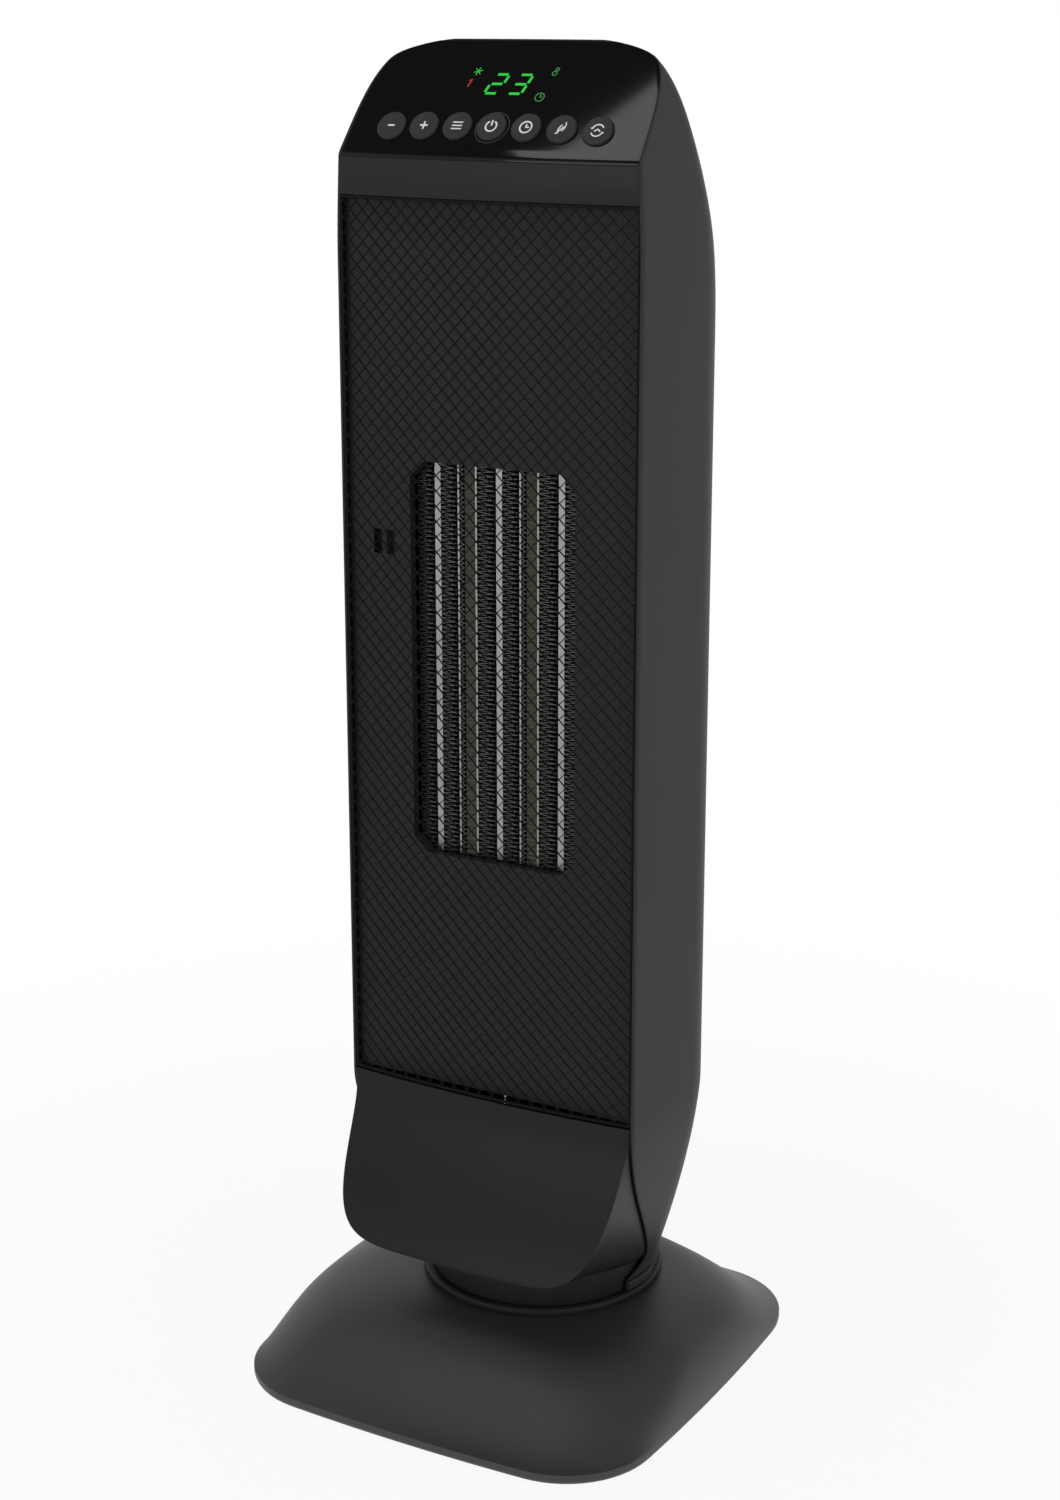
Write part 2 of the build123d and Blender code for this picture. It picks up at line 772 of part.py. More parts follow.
def baffle_panel():
    """Dark plate behind the mesh, with the heater's window and two sensor slots."""
    low, high = grille_low + fit_gap, grille_top - fit_gap
    plate = Pos(0, (low + high) / 2) * Rectangle(2 * front_half_width, high - low)
    plate -= Pos(0, window_middle) * chamfered_window(window_width, window_height, window_chamfer)
    for side in (-1, 1):
        plate -= Pos(slot_x + side * slot_pitch / 2, slot_level) * Rectangle(slot_width, slot_height)
    return front_prism(plate, baffle_y, baffle_y + baffle_thickness)


# Lower front cover

def chin_profile(inset):
    """Side outline of the lower front cover, on its middle line."""
    top = chin_top - inset / 2
    face = []
    for up, out in chin_face_shares:
        face.append((tower_front - out * chin_reach + inset, chin_bottom + up * chin_height))
    face[0] = (face[0][0], top if inset == 0 else chin_top + overrun)
    lip = (tower_front - chin_lip_share * chin_reach + 2 * inset, chin_bottom + inset)
    back = swivel_y
    heel_level = chin_bottom + inset - (chin_bottom - neck_low) * chin_heel_share
    heel = (swivel_y - neck_skirt_radius + inset, heel_level)
    front = Spline(*face)
    under = Polyline(face[-1], lip, heel, (back, heel[1]), (back, face[0][1]), face[0])
    return front + under


def chin_outline(inset):
    """Lower outline of the cover from the front, open upwards."""
    corner = []
    for share, up in chin_corner_shares:
        corner.append((max(share * chin_half_width - inset, 0), chin_bottom + up * chin_height + inset))
    mirrored = [(-x, z) for x, z in reversed(corner[:-1])]
    lower = Spline(*corner, *mirrored)
    top = tower_top
    lid = Polyline(corner[0], (corner[0][0], top), (mirrored[-1][0], top), mirrored[-1])
    return make_face(lower + lid)


def chin_sides(inset):
    """Outline of the tower's taper from the front, set in from the side shells' faces."""
    edge = []
    for index in range(neck_sections):
        up = index / (neck_sections - 1)
        half = neck_shape(1 - up)[0] * tower_half_width
        edge.append((half - chin_side_gap - inset, neck_low + up * neck_height))
    edge.append((front_half_width - inset, chin_top + overrun))
    edge[-2] = (edge[-1][0], edge[-2][1])
    mirrored = [(-x, z) for x, z in reversed(edge)]
    return make_face(Polyline(*edge, *mirrored, close=True))


def chin_body(inset):
    bow = (front_half_width ** 2 + front_bulge ** 2) / (2 * front_bulge)
    axis_y = tower_front - front_bulge + bow
    swing = degrees(tower_half_width / bow) + degrees(front_bulge / bow)
    face = Plane.YZ * make_face(chin_profile(inset))
    axis = Axis((0, axis_y, 0), (0, 0, 1))
    visor = revolve(face, axis, swing) + revolve(face, axis, -swing)
    front_y = tower_front - chin_reach - front_bulge
    sloped = extrude(Plane.XZ.offset(-front_y) * chin_outline(inset), amount=2 * chin_half_width,
                     dir=(0, 1, -chin_slope_share))
    return visor & sloped & front_prism(chin_sides(inset), front_y - overrun, swivel_y)


def lower_front_cover():
    skirt = column(neck_skirt_radius, neck_low, neck_skirt_top, 0, swivel_y)
    bore = column(neck_skirt_radius - chin_wall, neck_low - overrun, neck_skirt_top + overrun, 0, swivel_y)
    cover = (chin_body(0) + skirt) - chin_body(chin_wall) - bore
    gap_space = Pos(0, -fit_gap, 0) * front_space
    cover &= gap_space
    lip_room = tube(neck_foot_radius + lip_width / 2 + fit_gap, neck_skirt_radius, neck_low,
                    neck_low + lip_height + fit_gap, 0, swivel_y)
    cover -= lip_room & block((-reach, reach), (lip_front_y - fit_gap, reach), (0, reach))
    return cover - block((-reach, reach), (-reach, reach), (chin_top, reach))


# Control panel

def panel_rise(x, up):
    """How far the bowed panel stands out of its flat plane, square to it."""
    bulge = front_bulge + (panel_top_bulge - front_bulge) * up / slope_length
    return bulge * slope_cos * (1 - (x / front_half_width) ** 2)


def button_places():
    middle = (len(button_names) - 1) / 2
    return [(name, (index - middle) * button_pitch) for index, name in enumerate(button_names)]


def bowed_slab():
    faces = []
    ends_of_slope = ((front_bulge, tower_front, crease_level), (panel_top_bulge, crest_y, tower_top))
    for bulge, front, level in ends_of_slope:
        outer = front_arc(tower_half_width, bulge, front)
        inner = front_arc(tower_half_width, bulge, front + panel_thickness_y)
        ends = [Line(outer @ end, inner @ end) for end in (0, 1)]
        faces.append(Plane.XY.offset(level) * make_face(outer + inner + ends[0] + ends[1]))
    return loft(faces, ruled=True)


def local_column(radius, low, high, x, up):
    """Round bar square to the panel, between two depths measured from its flat plane."""
    return panel_plane * column(radius, low, high, x, up)


def local_block(x_span, up_span, depth_span):
    return panel_plane * block(x_span, up_span, depth_span)


panel_room = tower_volume(tower_wall + fit_gap, tower_wall + fit_gap)


def control_panel():
    panel = bowed_slab() & panel_room
    for place_x, up in boss_places:
        for side in (-1, 1):
            x = side * place_x
            panel += local_block((x - boss_half, x + boss_half), (up - boss_half, up + boss_half),
                                 (-board_depth, panel_rise(x, up) - panel_thickness / 2))
    for name, x in button_places():
        panel -= local_column(button_radius + fit_gap, -panel_thickness * 2, overrun * 2, x, button_row)
    return panel


def push_button(x):
    """Button cap with a square lug under the panel and a stem that reaches for its switch."""
    rise = panel_rise(x, button_row)
    flange_top = rise - panel_thickness - flange_gap
    cap = local_column(button_radius, flange_top, rise + button_proud, x, button_row)
    face = cap.faces().sort_by(Axis((0, 0, 0), (0, -slope_cos, slope_sin)))[-1]
    cap = chamfer(face.edges(), button_edge)
    half = button_radius + button_flange
    flange = local_block((x - half, x + half), (button_row - half, button_row + half),
                         (flange_top - button_flange_height, flange_top))
    stem_low = switch_height - board_depth + button_travel + bearing_gap * 2
    stem = local_block((x - stem_half, x + stem_half), (button_row - stem_half, button_row + stem_half),
                       (stem_low, flange_top))
    return cap + flange + stem


def control_board():
    board = local_block((-board_half_width, board_half_width), (board_low, board_high),
                        (-board_depth - board_thickness, -board_depth))
    corner = board_corner
    wedge_x = board_half_width - corner
    for side in (-1, 1):
        outline = Polyline((side * wedge_x, board_high), (side * board_half_width, board_high),
                           (side * board_half_width, board_high - corner), close=True)
        wedge_face = Plane.XY.offset(-board_depth - 2 * board_thickness) * make_face(outline)
        board -= panel_plane * extrude(wedge_face, amount=3 * board_thickness)
    return board


def push_switches():
    half = switch_side / 2
    switches = []
    for name, x in button_places():
        switches.append(local_block((x - half, x + half), (button_row - half, button_row + half),
                                    (-board_depth, -board_depth + switch_height)))
    return Compound(children=switches)


def display_module():
    return local_block((-display_half_width, display_half_width), (display_low, display_high),
                       (-board_depth, -display_top))


# Heater

def heater_columns():
    """Where the block's upright layers start across its width, unit by unit."""
    starts = {"bar": [], "fin": [], "narrow": [], "plate": [], "stone": []}
    first = -bar_pitch
    for index in range(3):
        starts["bar"].append((first + index * bar_pitch - bar_width / 2, bar_width))
    for index in range(2):
        x = first + index * bar_pitch + bar_width / 2
        starts["fin"].append((x, inner_fin_width))
        x += inner_fin_width
        starts["plate"].append((x, plate_width))
        x += plate_width
        starts["narrow"].append((x, narrow_fin_width))
        x += narrow_fin_width
        starts["stone"].append((x, stone_width))
        x += stone_width
        starts["plate"].append((x, plate_width))
        x += plate_width
        starts["fin"].append((x, first + (index + 1) * bar_pitch - bar_width / 2 - x))
    edge = bar_pitch + bar_width / 2
    outer = window_width / 2 - edge
    starts["fin"] += [(-edge - outer, outer), (edge, outer)]
    return starts


layers = heater_columns()


def flat_layers(kind):
    """All the layers of one kind as upright strips as deep as the block."""
    strips = []
    for x, width in layers[kind]:
        strips.append(block((x, x + width), (heater_front, heater_back), (window_low, window_high)))
    return Compound(children=strips)


def ptc_stones():
    """Short ceramic stones stacked in each of the two columns."""
    count = int(window_height / (stone_height + stone_gap))
    pitch = window_height / count
    stones = []
    for x, width in layers["stone"]:
        for index in range(count):
            low = window_low + index * pitch + stone_gap / 2
            stones.append(block((x, x + width), (heater_front + fit_gap, heater_back - fit_gap),
                                (low, low + pitch - stone_gap)))
    return Compound(children=stones)


def zigzag_fin(x, width):
    """One corrugated strip folded from side to side up its column."""
    folds = 2 * int(window_height / fin_pitch)
    step = window_height / folds
    half = fin_thickness / 2 * hypot(width, step) / step
    edges = []
    for side in (-1, 1):
        edge = []
        for index in range(folds + 1):
            middle = x + half + bearing_gap if index % 2 == 0 else x + width - half - bearing_gap
            edge.append((middle + side * half, window_low + index * step))
        edges.append(edge)
    strip = make_face(Polyline(*edges[0], *reversed(edges[1]), close=True))
    return front_prism(strip, heater_front + fit_gap, heater_back - fit_gap)


def heater_fins():
    return Compound(children=[zigzag_fin(x, width) for x, width in layers["fin"] + layers["narrow"]])


def heater_frame():
    """Moulded frame that clamps the heating block and closes it against the baffle."""
    half = heater_frame_half_width
    outer = block((-half, half), (heater_frame_y, heater_back),
                  (window_low - heater_frame_wall, window_high + heater_frame_wall))
    opening = block((-window_width / 2, window_width / 2), (-reach, reach), (window_low, window_high))
    return outer - opening


def heater_terminals():
    """Flat tabs behind the frame's lower bar, one for each bright bar."""
    width, thickness, length = terminal_size
    tabs = []
    level = window_low - heater_frame_wall / 2
    for x in (-terminal_pitch, 0, terminal_pitch):
        tabs.append(block((x - width / 2, x + width / 2), (heater_back, heater_back + length),
                          (level - thickness / 2, level + thickness / 2)))
    return Compound(children=tabs)


def thermal_cutout():
    """Round overheat cut-out clipped to the frame's upper bar."""
    level = window_high + heater_frame_wall / 2
    return backward_column(cutout_radius, cutout_height, cutout_x, heater_back, level - cutout_radius)


# Blower

def bulkhead(level):
    """Cross wall of the tower, which carries one end of the blower."""
    plate = extrude(tower_section(*neck_shape(0), level, tower_wall + fit_gap), amount=bulkhead_thickness)
    plate -= block((-reach, reach), (-reach, baffle_y + baffle_thickness + fit_gap), (0, tower_top))
    ledge_half = intake_half_width + ledge_width
    side_end = tower_front + flat_side_share * tower_depth
    ledge_inset = tower_wall + ledge_thickness
    bow = sqrt(1 - (ledge_half / (tower_half_width - ledge_inset)) ** 2)
    ledge_back = side_end + (tower_back - ledge_inset - side_end) * bow - fit_gap
    return plate - block((-ledge_half - fit_gap, ledge_half + fit_gap),
                         (ledge_back, reach), (0, tower_top))


def lower_bulkhead_plate():
    return bulkhead(lower_bulkhead) - column(hub_radius + fit_gap, 0, tower_top, 0, wheel_y)


def upper_bulkhead_plate():
    return bulkhead(upper_bulkhead) - column(bearing_radius, 0, tower_top, 0, wheel_y)


def blower_wheel():
    """Cross-flow wheel: two end discs, a middle disc and forward-curved blades."""
    middle = (wheel_low + wheel_high) / 2
    wheel = column(wheel_radius, wheel_low, wheel_low + wheel_disc)
    wheel += column(wheel_radius, wheel_high - wheel_disc, wheel_high)
    inner = wheel_radius * blade_inner_share
    wheel += tube(wheel_radius, inner, middle - wheel_disc / 2, middle + wheel_disc / 2)
    half_lean = radians(blade_lean / 2)
    bend = half_lean * blade_bend_share
    middle_radius = (inner + wheel_radius) / 2
    leading = [(inner, 0), (middle_radius * cos(bend), middle_radius * sin(bend)),
               (wheel_radius * cos(half_lean), wheel_radius * sin(half_lean))]
    trailing = [(x - y / wheel_radius * blade_thickness, y + blade_thickness) for x, y in reversed(leading)]
    blade_face = make_face(Polyline(*leading, *trailing, close=True))
    blade = extrude(Plane.XY.offset(wheel_low + wheel_disc / 2) * blade_face,
                    amount=wheel_high - wheel_low - wheel_disc)
    for index in range(wheel_blades):
        wheel += Rot(0, 0, 360 * index / wheel_blades) * blade
    wheel += column(hub_radius, wheel_low - hub_radius / 2, wheel_low)
    wheel -= column(shaft_radius, 0, tower_top)
    return Pos(0, wheel_y) * wheel


def blower_shaft():
    motor_top = lower_bulkhead
    low = motor_top - blower_motor_height / 2
    return column(shaft_radius, low, upper_bulkhead + bulkhead_thickness, 0, wheel_y)


def blower_motor():
    """Shaded-pole motor: can, bell and a clearance bore for the shaft."""
    top = lower_bulkhead - bracket_thickness
    low = top - blower_motor_height
    motor = column(blower_motor_radius, low + motor_bell_height, top - motor_bell_height)
    motor += column(motor_bell_radius, low, top)
    bore_low = lower_bulkhead - blower_motor_height / 2 - bearing_gap
    motor -= column(shaft_radius + bearing_gap, bore_low, top + overrun)
    return Pos(0, wheel_y) * motor


def motor_bracket():
    """Strap that hangs the motor under the lower bulkhead."""
    top = lower_bulkhead
    strap = block((-bracket_width / 2, bracket_width / 2), (-bracket_depth / 2, bracket_depth / 2),
                  (top - bracket_thickness, top))
    leg_low = top - blower_motor_height / 2
    for side in (-1, 1):
        near = blower_motor_radius + bearing_gap
        x_span = (near, near + bracket_thickness) if side > 0 else (-near - bracket_thickness, -near)
        strap += block(x_span, (-bracket_depth / 2, bracket_depth / 2), (leg_low, top))
    strap -= column(hub_radius + fit_gap, 0, tower_top)
    return Pos(0, wheel_y) * strap


def top_bearing():
    low = upper_bulkhead - bearing_height / 4
    inner = shaft_radius + bearing_gap
    return tube(bearing_radius - bearing_gap, inner, low, low + bearing_height, 0, wheel_y)


def arc_point(centre, radius, angle):
    return (centre[0] + radius * cos(radians(angle)), centre[1] + radius * sin(radians(angle)))


blower_low = lower_bulkhead + bulkhead_thickness
blower_high = upper_bulkhead


def curved_wall(arcs, side):
    """Upright wall along a run of arcs, then straight to the side of the heater's window.

    Each arc is given by its centre, its radius towards the wheel, its start and its turn.
    """
    faces_in_plan = []
    for aside in (0, scroll_wall):
        line = [CenterArc(centre, radius + aside, start, turn) for centre, radius, start, turn in arcs]
        last = (side * (window_width / 2 + aside), heater_back + fit_gap)
        line.append(Line(line[-1] @ 1, last))
        faces_in_plan.append(line)
    near, far = faces_in_plan
    ends = [Line(near[0] @ 0, far[0] @ 0), Line(near[-1] @ 1, far[-1] @ 1)]
    face = Face(Wire(near + far + ends))
    return extrude(Plane.XY.offset(blower_low) * face, amount=blower_high - blower_low, dir=(0, 0, 1))


def blower_scroll():
    """Rear guide of the blower: it keeps close to the wheel, then opens towards the heater."""
    close = wheel_radius + scroll_gap
    half = scroll_turn / 2
    turned = scroll_start + half
    centre = (-scroll_growth * cos(radians(turned)), wheel_y - scroll_growth * sin(radians(turned)))
    arcs = [((0, wheel_y), close, scroll_start, half), (centre, close + scroll_growth, turned, half)]
    return curved_wall(arcs, -1)


def vortex_wall():
    """Tongue of the blower on the other side of its outlet."""
    arcs = [((0, wheel_y), wheel_radius + tongue_gap, tongue_start, -tongue_turn)]
    return curved_wall(arcs, 1)


# Boards, sensor and main switch

def power_board():
    low = upper_bulkhead + bulkhead_thickness
    half = power_board_width / 2
    y_span = (power_board_y, power_board_y + board_thickness)
    return block((-half, half), y_span, (low, low + power_board_height))


def power_relays():
    length, depth, height = relay_size
    low = upper_bulkhead + bulkhead_thickness + relay_up
    relays = []
    for index in (-1, 0, 1):
        x = index * relay_pitch
        relays.append(block((x - length / 2, x + length / 2), (power_board_y - depth, power_board_y),
                            (low, low + height)))
    return Compound(children=relays)


def room_sensor():
    width, depth, height = sensor_size
    front = baffle_y + baffle_thickness
    return block((slot_x - width / 2, slot_x + width / 2), (front, front + depth),
                 (slot_level - height / 2, slot_level + height / 2))


def switch_housing():
    """Main switch body with a flange outside the rear cover."""
    half_x, half_z = switch_half_width, switch_half_height
    span_z = (switch_level - half_z, switch_level + half_z)
    body = block((-half_x, half_x), (tower_back - switch_depth, tower_back + switch_flange_depth), span_z)
    body += block((-half_x - switch_flange, half_x + switch_flange),
                  (tower_back + bearing_gap, tower_back + switch_flange_depth),
                  (span_z[0] - switch_flange, span_z[1] + switch_flange))
    well_z = half_z - switch_flange
    well_x = rocker_half_width + fit_gap
    body -= block((-well_x, well_x), (tower_back - switch_depth + switch_flange, reach),
                  (switch_level - well_z, switch_level + well_z))
    pin = Cylinder(rocker_pin_radius + bearing_gap, 2 * half_x - switch_flange)
    return body - Pos(0, rocker_pivot_y, switch_level) * Rot(0, quarter_turn, 0) * pin


def main_switch_rocker():
    """Rocker at rest in its off position, tilted about its pins."""
    outline = Polyline((-rocker_dip, -rocker_dip), (rocker_tip, -rocker_half_height), (rocker_dip, 0),
                       (rocker_tip, rocker_half_height), (-rocker_dip, rocker_dip), close=True)
    rocker = side_prism(outline, rocker_half_width)
    pin_length = 2 * (switch_half_width - fit_gap) - switch_flange
    rocker += Rot(0, quarter_turn, 0) * Cylinder(rocker_pin_radius, pin_length)
    return Pos(0, rocker_pivot_y, switch_level) * Rot(-rocker_angle, 0, 0) * rocker


pieces = {
    "base_housing": base_housing(),
    "base_plate": base_plate(),
    "rubber_feet": rubber_feet(),
    "base_plate_screws": base_plate_screws(),
    "cord_gland": cord_gland(),
    "tilt_switch": tilt_switch(),
    "swivel_motor": swivel_motor(),
    "swivel_pinion": swivel_pinion(),
    "swivel_gear": swivel_gear(),
    "gear_retainer": gear_retainer(),
    "pivot_bush": pivot_bush(),
    "slide_ring": slide_ring(),
    "turntable": turntable(),
    "right_side_shell": side_shell(1),
    "left_side_shell": side_shell(-1),
    "rear_cover": rear_cover(),
    "intake_grille": intake_grille(),
    "filter_frame": filter_frame(),
    "filter_mesh": filter_mesh(),
    "front_grille": front_grille(),
    "upper_trim": upper_trim(),
    "baffle_panel": baffle_panel(),
    "lower_front_cover": lower_front_cover(),
    "control_panel": control_panel(),
    "control_board": control_board(),
    "push_switches": push_switches(),
    "display_module": display_module(),
    "heater_bars": flat_layers("bar"),
    "contact_plates": flat_layers("plate"),
    "ptc_stones": ptc_stones(),
    "heater_fins": heater_fins(),
    "heater_frame": heater_frame(),
    "heater_terminals": heater_terminals(),
    "thermal_cutout": thermal_cutout(),
    "lower_bulkhead": lower_bulkhead_plate(),
    "upper_bulkhead": upper_bulkhead_plate(),
    "blower_wheel": blower_wheel(),
    "blower_shaft": blower_shaft(),
    "blower_motor": blower_motor(),
    "motor_bracket": motor_bracket(),
    "top_bearing": top_bearing(),
    "blower_scroll": blower_scroll(),
    "vortex_wall": vortex_wall(),
    "power_board": power_board(),
    "power_relays": power_relays(),
    "room_sensor": room_sensor(),
    "switch_housing": switch_housing(),
    "main_switch_rocker": main_switch_rocker(),
}
for button, place in button_places():
    pieces[f"button_{button}"] = push_button(place)
for node, solid in pieces.items():
    save(node, solid)
print(len(pieces), "pieces")
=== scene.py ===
import functools
import json
import math
import bmesh
import bpy
from mathutils import Matrix, Vector


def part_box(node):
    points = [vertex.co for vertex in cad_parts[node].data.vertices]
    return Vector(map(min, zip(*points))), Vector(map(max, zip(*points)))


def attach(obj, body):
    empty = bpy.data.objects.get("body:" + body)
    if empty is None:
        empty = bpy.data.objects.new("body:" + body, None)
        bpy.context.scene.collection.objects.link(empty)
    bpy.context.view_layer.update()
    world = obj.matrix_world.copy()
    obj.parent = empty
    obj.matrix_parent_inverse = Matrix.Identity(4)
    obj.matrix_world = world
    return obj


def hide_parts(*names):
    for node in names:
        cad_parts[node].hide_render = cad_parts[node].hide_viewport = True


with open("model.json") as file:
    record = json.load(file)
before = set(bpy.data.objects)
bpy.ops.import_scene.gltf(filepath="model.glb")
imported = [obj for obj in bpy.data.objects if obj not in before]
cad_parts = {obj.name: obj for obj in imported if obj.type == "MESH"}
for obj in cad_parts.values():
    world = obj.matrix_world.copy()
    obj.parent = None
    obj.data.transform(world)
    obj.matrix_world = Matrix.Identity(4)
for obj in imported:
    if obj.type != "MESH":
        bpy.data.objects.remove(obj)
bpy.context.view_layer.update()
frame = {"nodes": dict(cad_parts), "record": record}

print("frame loaded")

# camera and studio

cameraLook = {
    "place": (0.59617, -1.03930, 0.66560),
    "turn": (73.9006, 0.0, 29.6398),      # degrees
    "lens": 62.12,
    "sensor": 36.0,
}
studioLook = {
    "floorHalf": 6.0,
    "floorGrey": 0.86,
    "floorGlow": 0.93,
    "glowStart": 0.12,       # distance at which the floor starts to fade into the backdrop
    "glowEnd": 0.75,
    "skyGrey": (0.97, 0.97, 0.97, 1.0),
    "skyStrength": 0.2,
    "ceiling": (0.35, 0.75), # reflections fade from the white backdrop to a dark ceiling
    # name, place, aimed at, width, height, watts
    "lamps": (
        ("keyLamp", (2.4, -0.6, 0.85), (0.0, 0.0, 0.25), 1.4, 1.3, 12.0),
        ("frontLamp", (-0.6, -2.4, 0.85), (0.0, 0.0, 0.1), 1.2, 0.9, 10.0),
        ("topLamp", (-0.4, -0.87, 2.4), (-0.4, -0.87, 0.1), 1.2, 0.7, 11.0),
    ),
}


def addObject(name, data):
    made = bpy.data.objects.new(name, data)
    bpy.context.scene.collection.objects.link(made)
    return made


def addCamera():
    data = bpy.data.cameras.new("camera")
    data.lens = cameraLook["lens"]
    data.sensor_width = cameraLook["sensor"]
    camera = addObject("camera", data)
    camera.location = cameraLook["place"]
    camera.rotation_euler = [math.radians(angle) for angle in cameraLook["turn"]]
    bpy.context.scene.camera = camera
    bpy.context.scene.view_settings.view_transform = "Standard"


def addLamp(name, place, target, width, height, watts):
    data = bpy.data.lights.new(name, "AREA")
    data.shape = "RECTANGLE"
    data.size = width
    data.size_y = height
    data.energy = watts
    lamp = addObject(name, data)
    lamp.location = place
    lamp.rotation_euler = (Vector(target) - Vector(place)).to_track_quat("-Z", "Y").to_euler()


# shader maths

def addNode(tree, kind, settings, values):
    # a value is a plain one or another node's output
    node = tree.nodes.new(kind)
    for key, setting in settings.items():
        setattr(node, key, setting)
    for key, value in values.items():
        if isinstance(value, bpy.types.NodeSocket):
            tree.links.new(value, node.inputs[key])
        else:
            node.inputs[key].default_value = value
    return node


class Value:
    # one shader socket, so that maths on it can be written as an expression
    def __init__(self, finish, socket):
        self.finish = finish
        self.socket = socket

    def maths(self, operation, first, second):
        node = self.finish.make("ShaderNodeMath", {"operation": operation}, {0: first, 1: second})
        return self.finish.out(node)

    def __add__(self, other):
        return self.maths("ADD", self, other)

    def __radd__(self, other):
        return self.maths("ADD", other, self)

    def __sub__(self, other):
        return self.maths("SUBTRACT", self, other)

    def __mul__(self, other):
        return self.maths("MULTIPLY", self, other)

    def __rmul__(self, other):
        return self.maths("MULTIPLY", other, self)

    def __gt__(self, other):
        return self.maths("GREATER_THAN", self, other)


class Finish:
    # one material under construction
    sockets = {"colour": "Base Color", "roughness": "Roughness", "metallic": "Metallic",
               "gloss": "Specular IOR Level", "normal": "Normal", "glow": "Emission Color",
               "glowStrength": "Emission Strength"}

    def __init__(self, name):
        self.material = bpy.data.materials.new(name)
        self.material.use_nodes = True
        self.tree = self.material.node_tree
        self.shader = self.tree.nodes["Principled BSDF"]

    def make(self, kind, settings, values):
        values = {key: value.socket if isinstance(value, Value) else value for key, value in values.items()}
        return addNode(self.tree, kind, settings, values)

    def out(self, node, key=0):
        return Value(self, node.outputs[key])

    def place(self, stretch=(1.0, 1.0, 1.0)):
        coordinates = self.out(self.make("ShaderNodeTexCoord", {}, {}), "Object")
        return self.out(self.make("ShaderNodeMapping", {}, {"Vector": coordinates, "Scale": stretch}))

    def noise(self, scale, detail, stretch=(1.0, 1.0, 1.0)):
        return self.out(self.make("ShaderNodeTexNoise", {}, {
            "Vector": self.place(stretch), "Scale": scale, "Detail": detail}))

    def between(self, factor, first, second):
        return self.out(self.make("ShaderNodeMix", {"data_type": "RGBA"}, {
            "Factor": factor, "A": (*first, 1.0), "B": (*second, 1.0)}), "Result")

    def bump(self, height, strength, distance):
        return self.out(self.make("ShaderNodeBump", {}, {
            "Height": height, "Strength": strength, "Distance": distance}))

    def set(self, **values):
        for key, value in values.items():
            socket = self.shader.inputs[self.sockets[key]]
            if isinstance(value, Value):
                self.tree.links.new(value.socket, socket)
            elif key in ("colour", "glow"):
                socket.default_value = (*value, 1.0)
            else:
                socket.default_value = value
        return self.material


def grey(level):
    # linear grey from a screen level of 0 to 255
    share = level / 255
    linear = share / 12.92 if share < 0.04045 else ((share + 0.055) / 1.055) ** 2.4
    return (linear, linear, linear)


def scaled(colour, factor):
    return tuple(channel * factor for channel in colour)


def mouldedPlastic(name, colour, roughness, grainSize=0.0004, grainDepth=0.00002, gloss=0.5):
    # spark-eroded moulding: fine grain, faint clouds in colour and gloss
    finish = Finish(name)
    clouds = finish.noise(9.0, 3.0)
    grain = finish.noise(1 / grainSize, 2.0)
    return finish.set(colour=finish.between(clouds, scaled(colour, 0.92), scaled(colour, 1.08)),
                      roughness=roughness - 0.04 + 0.08 * clouds + 0.06 * (grain - 0.5),
                      normal=finish.bump(grain, 0.35, grainDepth), gloss=gloss)


def glossPlastic(name, colour, roughness, gloss):
    finish = Finish(name)
    haze = finish.noise(14.0, 4.0)
    ripple = finish.noise(25.0, 1.0)
    return finish.set(colour=finish.between(haze, scaled(colour, 0.85), scaled(colour, 1.15)),
                      roughness=roughness + 0.03 * haze, gloss=gloss,
                      normal=finish.bump(ripple, 0.03, 0.0004))


def bareMetal(name, colour, roughness, stretch):
    # drawn or rolled metal with fine streaks along one direction
    finish = Finish(name)
    streaks = finish.noise(900.0, 3.0, stretch)
    stain = finish.noise(60.0, 3.0)
    return finish.set(colour=finish.between(stain, scaled(colour, 0.8), scaled(colour, 1.15)), metallic=1.0,
                      roughness=roughness - 0.08 + 0.16 * streaks, normal=finish.bump(streaks, 0.2, 0.00003))


def firedCeramic(name, dark, light):
    finish = Finish(name)
    patches = finish.noise(130.0, 4.0)
    grain = finish.noise(2600.0, 2.0)
    return finish.set(colour=finish.between(patches, dark, light), roughness=0.62 + 0.2 * (grain - 0.5),
                      normal=finish.bump(grain, 0.5, 0.00006))


def litSign(name, colour, strength):
    finish = Finish(name)
    fade = finish.noise(400.0, 1.0)
    return finish.set(colour=scaled(colour, 0.2), glow=finish.between(fade, scaled(colour, 0.85), colour),
                      glowStrength=strength, roughness=0.4)


def printedInk(name, colour):
    finish = Finish(name)
    wear = finish.noise(900.0, 3.0)
    return finish.set(colour=finish.between(wear, scaled(colour, 0.88), colour), roughness=0.55)


def softRubber(name, colour):
    finish = Finish(name)
    dust = finish.noise(70.0, 4.0)
    grain = finish.noise(1800.0, 2.0)
    return finish.set(colour=finish.between(dust, colour, scaled(colour, 1.7)), roughness=0.75 + 0.1 * dust,
                      normal=finish.bump(grain, 0.4, 0.00005))


def wovenGauze(name, colour):
    finish = Finish(name)
    threads = []
    for direction in "ZX":
        wave = finish.make("ShaderNodeTexWave", {"bands_direction": direction},
                           {"Vector": finish.place(), "Scale": 700.0})
        threads.append(finish.out(wave, "Fac"))
    cross = threads[0] * threads[1]
    return finish.set(colour=finish.between(cross, scaled(colour, 0.4), scaled(colour, 1.4)), roughness=0.8,
                      normal=finish.bump(cross, 0.6, 0.0001))


